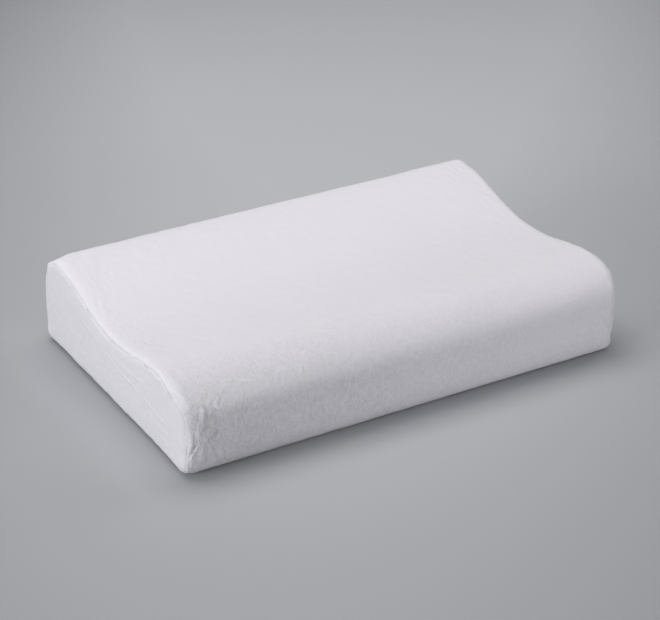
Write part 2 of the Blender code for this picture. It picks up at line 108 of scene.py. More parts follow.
LOOP = np.vstack([DENSE, DENSE[:1]])
ALONG = np.r_[0, np.cumsum(np.linalg.norm(np.diff(LOOP, axis=0), axis=1))]
PERIMETER = ALONG[-1]
wall = (DENSE[:, 0] > HALF_WIDTH - 0.002) & (DENSE[:, 1] > 0.02)
ZIP_S = float(np.interp(BACK_WIDEST_Z, DENSE[wall, 1], ALONG[:-1][wall]))


def point_at(s):
    s = np.mod(s, PERIMETER)
    return np.stack([np.interp(s, ALONG, LOOP[:, i]) for i in (0, 1)], -1)


def normal_at(s, reach=0.0015):
    step = point_at(s + reach) - point_at(s - reach)
    out = np.stack([step[..., 1], -step[..., 0]], -1)
    return out / np.linalg.norm(out, axis=-1, keepdims=True)


# ---- stations round the section: four sides that meet at the middles of the bends ----
TURN = [ALONG[100], ALONG[320], ALONG[960], ALONG[1180]]
N_LONG = 124
fine = [0.0055, 0.0061, 0.0069, 0.0078, 0.0088, 0.0102]
lower = np.r_[np.linspace(TURN[0], ZIP_S - 0.0102, 18)[:-1], ZIP_S - np.array(fine[::-1])]
upper = np.r_[ZIP_S + np.array(fine), np.linspace(ZIP_S + 0.0102, TURN[1], 24)[1:]]
back_side = np.r_[lower, ZIP_S - 0.003, ZIP_S, ZIP_S + 0.003, upper]
N_SIDE = len(back_side) - 1
assert N_SIDE % 2 == 0
top_side = np.linspace(TURN[1], TURN[2], N_LONG + 1)
front_side = np.linspace(TURN[2], TURN[3], N_SIDE + 1)
base_side = np.linspace(TURN[3], TURN[0] + PERIMETER, N_LONG + 1)
S = np.r_[back_side[:-1], top_side[:-1], front_side[:-1], base_side[:-1]]
N = len(S)
POINT, NORMAL = point_at(S), normal_at(S)
WEIGHT = np.clip(np.c_[-NORMAL[:, 0], NORMAL[:, 0], NORMAL[:, 1], -NORMAL[:, 1]], 0, 1) ** 2
ROUND = WEIGHT @ np.array([END_ROUND["front"], END_ROUND["back"], END_ROUND["top"], END_ROUND["base"]])
# where on the rounding the end seam runs: half way round it down the sides, and drawn over
# towards the end along the top, most of all at the front shoulder
SEAM_ANGLE = radians(45) + radians(17) * WEIGHT[:, 2]
SEAM_ANGLE += radians(25) * np.exp(-(((POINT[:, 0] + 0.170) / 0.026) ** 2)) * np.clip(POINT[:, 1] / 0.06, 0, 1)
SEAM_ANGLE += radians(1.1) * (np.sin(2 * pi * 19 * S / PERIMETER) + np.sin(2 * pi * 31 * S / PERIMETER + 1.3))  # a seam guided by hand wanders
middle_y = np.clip(POINT[:, 0], -HALF_WIDTH + 0.055, HALF_WIDTH - 0.055)
middle_z = 0.5 * np.interp(middle_y, [LOW_LOBE_Y, VALLEY_Y, HIGH_LOBE_Y], [LOW_LOBE_Z, VALLEY_Z, HIGH_LOBE_Z])
INWARD = np.c_[middle_y, middle_z] - POINT
INWARD /= np.linalg.norm(INWARD, axis=1)[:, None]
TO_ZIP = S - ZIP_S
fade = np.clip((np.abs(TO_ZIP) - RELIEF_FLAT) / (RELIEF_END - RELIEF_FLAT), 0, 1)
RELIEF = ZIP_RELIEF * np.cos(fade * pi / 2) ** 2


def on_rounding(side, angle, depth=0.0, extra=0.0, relief=False):
    """The outline on an end rounding; angle may be one number or one for each station."""
    r = ROUND + extra
    a = np.broadcast_to(angle, r.shape)
    d = depth + (RELIEF if relief else 0.0)
    yz = POINT - NORMAL * (d * np.cos(a))[:, None] + INWARD * (r * (1 - np.cos(a)))[:, None]
    return np.c_[side * (LENGTH / 2 - r + (r - depth) * np.sin(a)), yz]


def from_seam(side, t, depth=0.0, extra=0.0, relief=False):
    """The outline at distance t from the end seam, over the rounding and then along the length."""
    r = ROUND + extra
    arc = r * SEAM_ANGLE
    t = np.broadcast_to(t, r.shape)
    points = on_rounding(side, np.clip(SEAM_ANGLE - t / r, 0, None), depth, extra, relief)
    points[:, 0] -= side * np.clip(t - arc, 0, None)
    return points


# =====================================================================================
# Small mesh and number helpers
# =====================================================================================
def smooth01(x):
    x = np.clip(x, 0, 1)
    return x * x * (3 - 2 * x)


def bump(x, width):
    return np.exp(-((x / width) ** 2))


def noise(p, cell, seed):
    """Smooth value noise from -1 to 1 on points p, with cells of that size. cell may differ by axis."""
    q = np.asarray(p) / cell + 500.0
    i = np.floor(q).astype(np.int64)
    f = q - i
    f = f * f * f * (f * (6 * f - 15) + 10)
    total = np.zeros(q.shape[:-1])
    for corner in range(8):
        bit = [(corner >> k) & 1 for k in range(3)]
        h = (i[..., 0] + bit[0]) * 374761393 + (i[..., 1] + bit[1]) * 668265263 + (i[..., 2] + bit[2]) * 1442695041 + seed * 97463477
        h &= 0xFFFFFFFF
        h = ((h ^ (h >> 13)) * 1274126177) & 0xFFFFFFFF
        value = ((h ^ (h >> 16)) & 0xFFFFFF) / float(0x7FFFFF) - 1.0
        for k in range(3):
            value = value * (f[..., k] if bit[k] else 1 - f[..., k])
        total += value
    return total


def spline(points, count=80):
    """A smooth line through a few points."""
    p = np.array(points, float)
    ends = np.vstack([2 * p[0] - p[1], p, 2 * p[-1] - p[-2]])
    out = []
    for k in range(len(p) - 1):
        a, b, c, d = ends[k : k + 4]
        t = np.linspace(0, 1, max(2, count // (len(p) - 1)), endpoint=False)[:, None]
        out.append(0.5 * (2 * b + (c - a) * t + (2 * a - 5 * b + 4 * c - d) * t**2 + (3 * b - a - 3 * c + d) * t**3))
    return np.vstack(out + [p[-1:]])


def fold(q, points, height, width, trough=0.45, side=1, taper=0.25):
    """A soft fold along a line: a ridge with a shallower trough on one side, dying out at its ends."""
    line = spline(points)
    out = np.zeros(q.shape[:-1])
    low, high = line.min(0) - 6 * width, line.max(0) + 6 * width
    near = ((q > low) & (q < high)).all(-1)
    if not near.any():
        return out
    p = q[near]
    best = np.full(len(p), 1e9)
    signed, along = np.zeros(len(p)), np.zeros(len(p))
    run = np.r_[0, np.cumsum(np.linalg.norm(np.diff(line, axis=0), axis=1))]
    for k in range(len(line) - 1):
        a, d = line[k], line[k + 1] - line[k]
        length = np.linalg.norm(d) + 1e-12
        d = d / length
        rel = p - a
        u = np.clip(rel @ d, 0, length)
        off = rel - u[:, None] * d
        dist = np.linalg.norm(off, axis=1)
        cross = d[0] * rel[:, 1] - d[1] * rel[:, 0]
        better = dist < best
        best[better] = dist[better]
        signed[better] = np.sign(cross[better]) * dist[better]
        along[better] = (run[k] + u[better]) / run[-1]
    strength = smooth01(along / taper) * smooth01((1 - along) / taper)
    profile = bump(signed, width) - trough * bump(signed - side * 2.0 * width, 1.4 * width)
    out[near] = height * profile * strength
    return out


def grid_normals(g, closed_first):
    """Unit normals of a grid of points, pointing out for a grid that runs round and then along +X."""
    if closed_first:
        du = np.roll(g, -1, 0) - np.roll(g, 1, 0)
    else:
        du = np.gradient(g, axis=0)
    dv = np.gradient(g, axis=1)
    n = np.cross(du, dv)
    return n / (np.linalg.norm(n, axis=-1, keepdims=True) + 1e-12)


def mesh_object(name, points, faces, paint, smooth=True):
    mesh = bpy.data.meshes.new(name)
    mesh.from_pydata([tuple(p) for p in np.asarray(points)], [], [tuple(int(i) for i in f) for f in faces])
    mesh.validate()
    made = bpy.data.objects.new(name, mesh)
    scene.collection.objects.link(made)
    mesh.materials.append(paint)
    if smooth:
        mesh.shade_smooth()
    return made


def recalculated(piece):
    """Faces turned to point outwards."""
    bm = bmesh.new()
    bm.from_mesh(piece.data)
    bmesh.ops.recalc_face_normals(bm, faces=bm.faces)
    bm.to_mesh(piece.data)
    bm.free()
    piece.data.shade_smooth()
    return piece


# =====================================================================================
# Materials
# =====================================================================================
class Paint:
    """A node material being put together."""

    def __init__(self, name):
        self.material = bpy.data.materials.new(name)
        self.material.use_nodes = True
        self.tree = self.material.node_tree
        self.shader = self.tree.nodes["Principled BSDF"]
        self.where = self.tree.nodes.new("ShaderNodeTexCoord").outputs["Object"]

    def node(self, kind, links=None, **settings):
        made = self.tree.nodes.new(kind)
        for key, value in settings.items():
            setattr(made, key, value)
        for key, value in (links or {}).items():
            socket = made.inputs[key]
            if isinstance(value, bpy.types.NodeSocket):
                self.tree.links.new(value, socket)
            else:
                socket.default_value = value
        return made

    def stretch(self, scale, turn=(0, 0, 0)):
        return self.node("ShaderNodeMapping", {"Vector": self.where, "Scale": scale, "Rotation": turn}).outputs["Vector"]

    def noise(self, scale, detail=3.0, rough=0.55, where=None, distort=0.0):
        return self.node(
            "ShaderNodeTexNoise",
            {"Vector": where or self.where, "Scale": scale, "Detail": detail, "Roughness": rough, "Distortion": distort},
        ).outputs["Fac"]

    def cells(self, scale, where=None, feature="F1"):
        return self.node("ShaderNodeTexVoronoi", {"Vector": where or self.where, "Scale": scale}, feature=feature).outputs["Distance"]

    def wave(self, scale, where=None, direction="X", distortion=0.0, profile="SIN"):
        return self.node(
            "ShaderNodeTexWave",
            {"Vector": where or self.where, "Scale": scale, "Distortion": distortion},
            wave_type="BANDS", bands_direction=direction, wave_profile=profile,
        ).outputs["Fac"]

    def math(self, operation, a, b=0.0, clamp=False):
        return self.node("ShaderNodeMath", {0: a, 1: b}, operation=operation, use_clamp=clamp).outputs[0]

    def ramp(self, value, low, high, to_low, to_high):
        return self.node(
            "ShaderNodeMapRange", {"Value": value, "From Min": low, "From Max": high, "To Min": to_low, "To Max": to_high}
        ).outputs["Result"]

    def blend(self, factor, a, b):
        made = self.node("ShaderNodeMix", data_type="RGBA", blend_type="MIX")
        for socket, value in ((made.inputs[0], factor), (made.inputs[6], a), (made.inputs[7], b)):
            if isinstance(value, bpy.types.NodeSocket):
                self.tree.links.new(value, socket)
            else:
                socket.default_value = (*value, 1.0) if isinstance(value, tuple) else value
        return made.outputs[2]

    def raise_by(self, height, strength, distance, before=None):
        links = {"Height": height, "Strength": strength, "Distance": distance}
        if before is not None:
            links["Normal"] = before
        return self.node("ShaderNodeBump", links).outputs["Normal"]

    def finish(self, colour, rough, normal=None, **constants):
        for key, value in (("Base Color", colour), ("Roughness", rough), ("Normal", normal)):
            if isinstance(value, bpy.types.NodeSocket):
                self.tree.links.new(value, self.shader.inputs[key])
            elif value is not None:
                self.shader.inputs[key].default_value = (*value, 1.0) if isinstance(value, tuple) else value
        for key, value in constants.items():
            self.shader.inputs[key.replace("_", " ")].default_value = value
        return self.material


def velour(name):
    """Short-pile velour: clumped pile a few millimetres across, finer tufts in it, painted shade in the hollows between
    them, soft sheen at the edges.
    """
    p = Paint(name)
    hung = p.stretch((1.0, 1.0, 0.55))  # down the sides the pile's marks hang a little longer than wide
    clumps = p.noise(230, 3.0, 0.62, where=hung, distort=0.35)
    tufts = p.noise(680, 3.0, 0.60, where=hung)
    pile = p.noise(1900, 2.0, 0.5)
    broad = p.noise(16, 2.0, 0.5)
    # the pile lies brushed flat on top and is ruffled down the front, most of all towards the left; the same mask also
    # sets how dark the painted shade in the pile's hollows is, so it is lighter on top and darker down the front
    facing = p.node("ShaderNodeSeparateXYZ", {"Vector": p.where.node.outputs["Normal"]}).outputs
    spot = p.node("ShaderNodeSeparateXYZ", {"Vector": p.where}).outputs
    facing_ruffle_and_shade = p.math("MAXIMUM", p.ramp(facing["Z"], 0.15, 0.90, 1.0, 0.13), p.ramp(spot["Y"], -0.11, -0.18, 0.0, 0.60))
    ends = p.ramp(p.math("ABSOLUTE", facing["X"]), 0.45, 0.90, 1.0, 0.26)
    along = p.ramp(spot["X"], -0.24, 0.24, 1.15, 0.32)
    ruffle_and_shade_mask = p.math("MULTIPLY", p.math("MULTIPLY", facing_ruffle_and_shade, ends), along)
    # painted shade: the colour darkens where the clumps and tufts leave hollows, more where the mask above is strong
    hollow = p.math("ADD", p.math("MULTIPLY", clumps, 0.55), p.math("MULTIPLY", tufts, 0.45))
    shade = p.ramp(hollow, 0.36, 0.62, 0.0, 1.0)
    pile_colour_with_painted_shade = p.blend(shade, p.blend(ruffle_and_shade_mask, VELOUR_LIGHT, VELOUR_PAINTED_SHADE), VELOUR_LIGHT)
    colour = p.blend(p.ramp(broad, 0.35, 0.65, 0.0, 0.25), pile_colour_with_painted_shade, VELOUR_LIGHT)
    normal = p.raise_by(clumps, p.math("MULTIPLY", ruffle_and_shade_mask, 0.80), 0.0034)
    normal = p.raise_by(tufts, p.math("MULTIPLY", ruffle_and_shade_mask, 0.85), 0.0019, normal)
    normal = p.raise_by(pile, p.math("MULTIPLY", ruffle_and_shade_mask, 0.60), 0.0006, normal)
    rough = p.ramp(tufts, 0.3, 0.7, 0.90, 1.0)
    return p.finish(
        colour, rough, normal, Sheen_Weight=0.12, Sheen_Roughness=0.45, Specular_IOR_Level=0.12,
    )


# the second colour is the painted shade of the pile's hollows
VELOUR_LIGHT, VELOUR_PAINTED_SHADE = (0.806, 0.788, 0.838), (0.640, 0.626, 0.672)


def knit(name):
    """Fine jersey: rows of small loops."""
    p = Paint(name)
    wales = p.wave(300, direction="X")
    courses = p.wave(240, direction="DIAGONAL", distortion=1.5)
    loops = p.math("MULTIPLY", wales, courses)
    fuzz = p.noise(800, 2.0)
    colour = p.blend(p.ramp(loops, 0.0, 0.8, 0.0, 1.0), (0.66, 0.66, 0.66), (0.84, 0.84, 0.83))
    normal = p.raise_by(fuzz, 0.2, 0.0003, p.raise_by(loops, 0.6, 0.0004))
    return p.finish(colour, p.ramp(fuzz, 0.3, 0.7, 0.8, 0.95), normal, Sheen_Weight=0.15)


def foam(name):
    """Moulded viscoelastic foam: fine open cells with a few larger ones, their pits darkened with painted shade."""
    p = Paint(name)
    small, large = p.cells(1100), p.cells(330)
    tint = p.noise(25, 3.0)
    cell_pits_and_shade = p.math("MULTIPLY", p.ramp(small, 0.0, 0.6, 0.0, 1.0), p.ramp(large, 0.0, 0.35, 0.3, 1.0))
    # painted shade: the colour is darker in the cell pits
    colour = p.blend(cell_pits_and_shade, (0.66, 0.61, 0.50), p.blend(tint, (0.86, 0.82, 0.71), (0.90, 0.87, 0.78)))
    normal = p.raise_by(cell_pits_and_shade, 0.7, 0.0006)
    return p.finish(colour, p.ramp(cell_pits_and_shade, 0.0, 1.0, 0.98, 0.85), normal, Specular_IOR_Level=0.2)


def thread(name, scale=(1400, 1400, 1400)):
    """Twisted polyester sewing thread."""
    p = Paint(name)
    twist = p.wave(420, direction="DIAGONAL", distortion=0.6)
    fuzz = p.noise(2500, 2.0)
    colour = p.blend(twist, (0.70, 0.69, 0.73), (0.86, 0.85, 0.89))
    normal = p.raise_by(fuzz, 0.2, 0.0001, p.raise_by(twist, 0.6, 0.0002))
    return p.finish(colour, p.ramp(fuzz, 0.3, 0.7, 0.50, 0.70), normal, Sheen_Weight=0.1)


def woven_tape(name):
    """Narrow woven zip tape: a plain weave, with a denser band beside the coil."""
    p = Paint(name)
    warp = p.wave(470, direction="Z")
    weft = p.wave(330, direction="X")
    weave = p.math("MAXIMUM", p.math("MULTIPLY", warp, weft), p.math("MULTIPLY", p.math("SUBTRACT", 1.0, warp), p.math("SUBTRACT", 1.0, weft)))
    mottle = p.noise(300, 2.0)
    colour = p.blend(p.ramp(weave, 0.0, 0.9, 0.0, 1.0), (0.63, 0.62, 0.66), p.blend(mottle, (0.78, 0.77, 0.81), (0.83, 0.82, 0.86)))
    normal = p.raise_by(weave, 0.8, 0.0003)
    return p.finish(colour, p.ramp(mottle, 0.3, 0.7, 0.72, 0.88), normal, Sheen_Weight=0.08)


def nylon(name):
    """Translucent-looking moulded monofilament."""
    p = Paint(name)
    drift = p.noise(120, 2.0)
    fine_lines = p.noise(1800, 2.0, where=p.stretch((0.2, 1, 1)))
    colour = p.blend(drift, (0.78, 0.78, 0.82), (0.88, 0.88, 0.91))
    normal = p.raise_by(fine_lines, 0.15, 0.0001)
    return p.finish(colour, p.ramp(drift, 0.3, 0.7, 0.26, 0.40), normal, Subsurface_Weight=0.15, Subsurface_Scale=0.0006, Coat_Weight=0.15)


def enamel(name):
    """White enamel on a small die-cast slider, slightly orange-peeled, duller where fingers rub it."""
    p = Paint(name)
    peel, rub = p.noise(900, 2.0), p.noise(140, 3.0)
    colour = p.blend(rub, (0.79, 0.79, 0.82), (0.86, 0.86, 0.88))
    return p.finish(colour, p.ramp(rub, 0.35, 0.65, 0.20, 0.36), p.raise_by(peel, 0.12, 0.0001), Coat_Weight=0.35, Coat_Roughness=0.12)


def satin(name):
    """Woven satin ribbon for the blank label."""
    p = Paint(name)
    floats = p.wave(600, direction="X", distortion=0.4)
    cross = p.wave(420, direction="Z", distortion=0.8)
    crumple = p.noise(90, 3.0)
    colour = p.blend(p.math("MULTIPLY", floats, cross), (0.78, 0.78, 0.78), (0.90, 0.90, 0.89))
    normal = p.raise_by(crumple, 0.25, 0.001, p.raise_by(floats, 0.4, 0.0002))
    return p.finish(colour, p.ramp(crumple, 0.3, 0.7, 0.36, 0.52), normal, Anisotropic=0.5, Sheen_Weight=0.1)


VELOUR, KNIT, FOAM = velour("velour_white"), knit("liner_jersey"), foam("viscoelastic_foam")
THREAD, TAPE, NYLON = thread("twisted_thread"), woven_tape("woven_zip_tape"), nylon("zip_monofilament")
ENAMEL, SATIN = enamel("slider_enamel"), satin("label_satin_weave")

# =====================================================================================
# The cover's surface: base grids
# =====================================================================================
NEAR = [0.0, 0.0006, 0.0014, 0.0024, 0.0036, 0.0052]  # rows close to the end seam, as distances from it
ARC = ROUND * SEAM_ANGLE
REST = ARC + (LENGTH / 2 - ROUND - ZIP_LENGTH / 2) - NEAR[-1]
N_REST, N_MIDDLE = 35, 130


def distances():
    """For each column near an end, each station's distance from the seam; then the columns' x in the middle."""
    rows = [np.full(N, t) for t in NEAR]
    rows += [NEAR[-1] + REST * k / N_REST for k in range(1, N_REST + 1)]
    return rows


ROWS = distances()
left = [from_seam(-1, t) for t in ROWS]
right = [from_seam(1, t) for t in ROWS][::-1]
X_MIDDLE = np.linspace(-ZIP_LENGTH / 2, ZIP_LENGTH / 2, N_MIDDLE + 1)[1:-1]
middle = [np.c_[np.full(N, x), POINT] for x in X_MIDDLE]
WRAP = np.stack(left + middle + right, 1)  # station, column, xyz
M = WRAP.shape[1]
SLOT_FROM, SLOT_TO = len(left) - 1, M - len(right)
COLUMN_T = np.stack(ROWS + [np.full(N, 1.0)] * len(middle) + ROWS[::-1], 1)  # distance from the nearer seam
for k, x in enumerate(X_MIDDLE):
    COLUMN_T[:, len(left) + k] = ROWS[-1] + (ZIP_LENGTH / 2 - abs(x))
SIDE_OF = np.where(np.arange(M) < M / 2, -1, 1)
WRAP_N = grid_normals(WRAP, True)

PANEL_STEPS = np.array([0, 0.035, 0.09, 0.17, 0.28, 0.42, 0.60, 0.80, 1.0])
PANEL_ANGLES = SEAM_ANGLE[None] + (pi / 2 - SEAM_ANGLE)[None] * PANEL_STEPS[:, None]


def end_panel_grids(side):
    """Rings over the rounding from the seam, and the four-sided patch that fills the flat end."""
    rings = []
    for k, a in enumerate(PANEL_ANGLES):
        rings.append(on_rounding(side, a + (0.00006 / ROUND if k == 0 else 0.0)))
    rings = np.stack(rings)
    edge = rings[-1]
    a, b, c = N_SIDE, N_SIDE + N_LONG, 2 * N_SIDE + N_LONG
    back, top = edge[: a + 1], edge[a : b + 1]
    front, base = edge[b : c + 1][::-1], np.vstack([edge[c:], edge[:1]])[::-1]
    u = np.linspace(0, 1, N_LONG + 1)[:, None, None]  # from the back edge to the front one
    v = np.linspace(0, 1, N_SIDE + 1)[None, :, None]  # from the base up
    patch = (1 - v) * base[:, None] + v * top[:, None] + (1 - u) * back[None] + u * front[None]
    patch -= (1 - u) * (1 - v) * base[0] + u * (1 - v) * base[-1] + (1 - u) * v * top[0] + u * v * top[-1]
    return rings, patch


PANELS = {side: end_panel_grids(side) for side in (-1, 1)}
PANEL_T = (PANEL_ANGLES - SEAM_ANGLE[None]) * ROUND[None]


# =====================================================================================
# Folds, puckers and sags, as displacements of that surface
# =====================================================================================
def d_axis(t):
    """True where the stations run along the last axis, as on the end panels."""
    return t.shape[-1] == N


def seam_texture(t, s, side, seed, panel):
    """The rim seam: the cloth dives into the seam, stands up beside it, and puckers along it."""
    at = np.stack([s, np.full_like(s, side * 0.07 + 0.3), np.full_like(s, seed * 0.05)], -1)
    wander = 1 + 0.35 * noise(at, 0.034, 11 + seed)
    # the pull-in comes and goes, and is slight where the seam runs down the long faces
    level = WEIGHT[:, 2] if d_axis(t) else WEIGHT[:, 2][:, None]
    show = (0.25 + 0.75 * level) * (0.55 + 0.45 * noise(at, 0.047, 31))
    show = show * np.interp(s, [TURN[1], TURN[1] + 0.04, TURN[2] - 0.16, TURN[2] - 0.09, TURN[2]], [0.8, 0.40, 0.45, 1.0, 1.0])
    if panel:
        d = -0.00085 * show * bump(t, 0.0019) + 0.00008 * wander * bump(t - 0.0052, 0.0030)
    else:
        d = -0.00060 * show * bump(t, 0.0013) + 0.00095 * wander * (0.4 + 0.6 * level) * bump(t - 0.0040, 0.0030)
    phase = s + 0.0035 * noise(at, 0.021, 5)
    pucker = noise(np.stack([phase, np.full_like(s, 0.1 * side), np.full_like(s, 0.0)], -1), 0.0058, 17 if side < 0 else 23)
    strength = 0.5 + 0.5 * noise(at, 0.055, 29)
    d += 0.00070 * pucker * strength * np.exp(-t / 0.0075) * smooth01(t / 0.0012)
    return d


def broad_waves(p):
    """Slow unevenness that any sewn cover has over foam."""
    d = 0.00055 * noise(p, 0.085, 41) + 0.00026 * noise(p, 0.034, 43)
    return d


def ear(p, centre, pull, reach):
    """A corner of cloth drawn out to a soft point. Returns a displacement vector."""
    rel = p - np.array(centre)
    dist = np.linalg.norm(rel * np.array([1.0, 1.0, 1.15]), axis=-1)
    w = np.exp(-((dist / reach) ** 2))
    return w[..., None] * np.array(pull)


def displace_wrap(grid, normal):
    p, t, s = grid, COLUMN_T, np.broadcast_to(S[:, None], COLUMN_T.shape)
    side = np.broadcast_to(SIDE_OF[None], t.shape)
    d = np.zeros(t.shape)
    for sign in (-1, 1):
        here = side == sign
        d += np.where(here, seam_texture(t, s, sign, 2 + sign, False), 0)
    d += broad_waves(p)
    flat = np.clip(1 - normal[..., 2].clip(None, 0) ** 2 * 1.4, 0, 1)  # the base stays level
    # fabric lies slack round the zip: slow waves along the back wall, the hem stands up between slot and stitches
    zip_gap = np.abs(s - ZIP_S)
    in_zip = smooth01((ZIP_LENGTH / 2 + 0.004 - np.abs(p[..., 0])) / 0.006)
    d += in_zip * (0.00045 * bump(zip_gap - 0.0064, 0.0010) - 0.00040 * bump(zip_gap - STITCH_ROW, 0.0008) - 0.00055 * bump(zip_gap - SLOT_HALF, 0.0005))
    stitch = noise(np.stack([p[..., 0], zip_gap * 0 + 0.2, (s > ZIP_S) * 0.5], -1), 0.0068, 61)
    d += in_zip * 0.00028 * stitch * bump(zip_gap - 0.0095, 0.004) * (zip_gap > SLOT_HALF + 1e-4)
    wavy = noise(np.stack([p[..., 0], p[..., 2] * 0.35, np.zeros_like(t)], -1), 0.021, 67)
    d += 0.00050 * wavy * bump(zip_gap - 0.014, 0.012) * (zip_gap > SLOT_HALF + 1e-4) * (p[..., 1] > 0.15)
    # the back seam runs on from each end of the zip
    beyond = smooth01((np.abs(p[..., 0]) - ZIP_LENGTH / 2 - 0.001) / 0.003)
    d += beyond * (-0.0011 * bump(zip_gap, 0.0013) + 0.0004 * bump(zip_gap - 0.0034, 0.0020))
    # the front shoulder is rounder in the middle of the length than at the ends
    round_here = np.interp(p[..., 0], [-0.24, -0.10, 0.02, 0.13, 0.20, 0.25], [0.0, 0.45, 0.75, 1.0, 0.6, 0.0])
    d -= 0.0024 * round_here * bump(s - TURN[2] + 0.004, 0.030)
    d += front_features(p, s, t, side)
    d *= flat
    moved = grid + normal * d[..., None]
    moved += corner_pulls(grid)
    return moved


def front_features(p, s, t, side):
    """Folds and dimples of the long faces, most of them by the front left corner."""
    d = np.zeros(t.shape)
    front = (p[..., 1] < -0.12) & (side < 0)
    q = np.stack([t, p[..., 2]], -1)
    for points, height, width, trough, lean in LEFT_FRONT_FOLDS:
        d += np.where(front, fold(q, np.array(points) / 1000, 1.8 * height / 1000, 1.1 * width / 1000, trough, lean), 0)
    q = np.stack([t, p[..., 2]], -1)
    front = (p[..., 1] < -0.12) & (side > 0)
    for points, height, width, trough, lean in RIGHT_FRONT_FOLDS:
        d += np.where(front, fold(q, np.array(points) / 1000, height / 1000, width / 1000, trough, lean), 0)
    back = (p[..., 1] > 0.12)
    for sign, folds in ((-1, LEFT_BACK_FOLDS), (1, RIGHT_BACK_FOLDS)):
        for points, height, width, trough, lean in folds:
            d += np.where(back & (side == sign), fold(q, np.array(points) / 1000, height / 1000, width / 1000, trough, lean), 0)
    for x, z, depth, size in DIMPLES:
        here = p[..., 1] < -0.17
        r2 = ((p[..., 0] - x) / (size * 1.35)) ** 2 + ((p[..., 2] - z) / size) ** 2
        d -= np.where(here, depth * np.exp(-r2), 0)
    # mottled hollows where the cover bags over the foam by the front left corner
    w = np.where(p[..., 1] < -0.16, 1.0, 0.0) * np.exp(-((p[..., 0] + 0.262) / 0.030) ** 2) * smooth01((p[..., 2] - 0.012) / 0.03) * smooth01((0.105 - p[..., 2]) / 0.03)
    d += 0.00090 * w * noise(p * np.array([1, 1, 0.7]), 0.0080, 71)
    w = np.where(p[..., 1] < -0.16, 1.0, 0.0) * np.exp(-((p[..., 0] - 0.262) / 0.028) ** 2) * smooth01((p[..., 2] - 0.012) / 0.03)
    d += 0.00035 * w * noise(p * np.array([1, 1, 0.7]), 0.0095, 73)
    return d


# each fold: points (distance from the end seam, height) in mm, height, width, trough, lean
LEFT_FRONT_FOLDS = [
    ([(27, 92), (24, 78), (20, 66), (18, 54)], 0.80, 1.5, 0.9, 1),
    ([(22, 84), (19, 73), (14, 62), (12, 52)], 0.60, 1.4, 0.6, -1),
    ([(36, 60), (31, 53), (24, 47), (17, 41)], 0.95, 1.2, 0.8, 1),
    ([(14, 43), (11, 38), (8, 31), (6, 24)], 1.10, 1.3, 0.8, -1),
    ([(18, 41), (19, 30), (21, 17)], 0.65, 1.7, 0.7, 1),
    ([(28, 38), (31, 25), (36, 11)], 0.60, 1.9, 0.7, 1),
    ([(40, 34), (43, 23), (48, 12)], 0.40, 2.2, 0.6, 1),
    ([(5, 60), (6, 46), (5, 32), (6, 20)], 0.70, 1.8, 0.6, 1),
    ([(10, 104), (12, 96), (10, 86)], 0.55, 2.4, 0.9, -1),
    ([(32, 82), (35, 72), (33, 64)], 0.45, 1.3, 0.8, 1),
    ([(44, 90), (42, 82), (46, 74)], 0.35, 1.5, 0.8, -1),
]
RIGHT_FRONT_FOLDS = [
    ([(10, 96), (14, 78), (16, 58), (18, 40)], 0.45, 2.6, 0.5, 1),
    ([(30, 56), (24, 42), (15, 30)], 0.60, 1.6, 0.6, 1),
    ([(12, 34), (9, 22), (7, 14)], 0.70, 1.6, 0.6, 1),
    ([(26, 36), (29, 22), (33, 11)], 0.40, 2.2, 0.5, 1),
]
LEFT_BACK_FOLDS = [
    ([(6, 112), (9, 92), (10, 70), (12, 56)], 0.50, 2.4, 0.5, 1),
    ([(9, 40), (11, 26), (9, 13)], 0.55, 2.0, 0.5, 1),
    ([(22, 46), (25, 30), (30, 14)], 0.35, 2.2, 0.5, -1),
]
RIGHT_BACK_FOLDS = [
    ([(7, 108), (10, 90), (12, 72)], 0.45, 2.2, 0.5, -1),
    ([(10, 42), (12, 26), (10, 12)], 0.55, 1.8, 0.6, 1),
    ([(20, 104), (24, 84), (27, 66)], 0.35, 2.4, 0.5, 1),
]
DIMPLES = [(-0.024, 0.067, 0.0010, 0.011), (0.089, 0.085, 0.0009, 0.010), (-0.120, 0.050, 0.0006, 0.016), (0.190, 0.055, 0.0007, 0.014)]

# creases of the end panels: points (y, z) in mm, height, width, trough, lean
PANEL_FOLDS = {
    -1: [
        ([(20, 72), (-37, 61), (-90, 59), (-132, 53), (-176, 50)], 1.05, 1.4, 0.5, 1),
        ([(150, 104), (96, 88), (50, 77), (14, 71)], 0.30, 2.4, 0.5, 1),
        ([(132, 92), (90, 74), (52, 62)], 0.28, 2.0, 0.5, 1),
        ([(58, 48), (20, 44), (-24, 40)], 0.26, 2.2, 0.5, 1),
        ([(30, 78), (-20, 73), (-70, 74), (-110, 80)], 0.26, 1.8, 0.5, -1),
        ([(-60, 60), (-110, 44), (-160, 37), (-186, 36)], 0.30, 2.0, 0.5, 1),
        ([(-120, 30), (-155, 22), (-184, 14)], 0.45, 2.0, 0.5, 1),
        ([(-150, 17), (-172, 13), (-190, 8)], 0.55, 1.4, 0.6, -1),
        ([(150, 90), (165, 60), (170, 35)], 0.35, 2.2, 0.5, 1),
    ],
    1: [
        ([(146, 106), (90, 88), (30, 72), (-30, 64), (-90, 62), (-160, 66)], 0.70, 1.8, 0.5, -1),
        ([(150, 98), (104, 78), (56, 60), (10, 50)], 0.50, 1.7, 0.5, -1),
        ([(10, 80), (-50, 78), (-110, 88), (-164, 88)], 0.45, 1.5, 0.5, 1),
        ([(-70, 50), (-120, 38), (-178, 26)], 0.50, 1.8, 0.5, -1),
        ([(156, 84), (170, 56), (172, 30)], 0.40, 2.2, 0.5, -1),
        ([(-140, 20), (-168, 14), (-188, 9)], 0.60, 1.5, 0.5, 1),
    ],
}


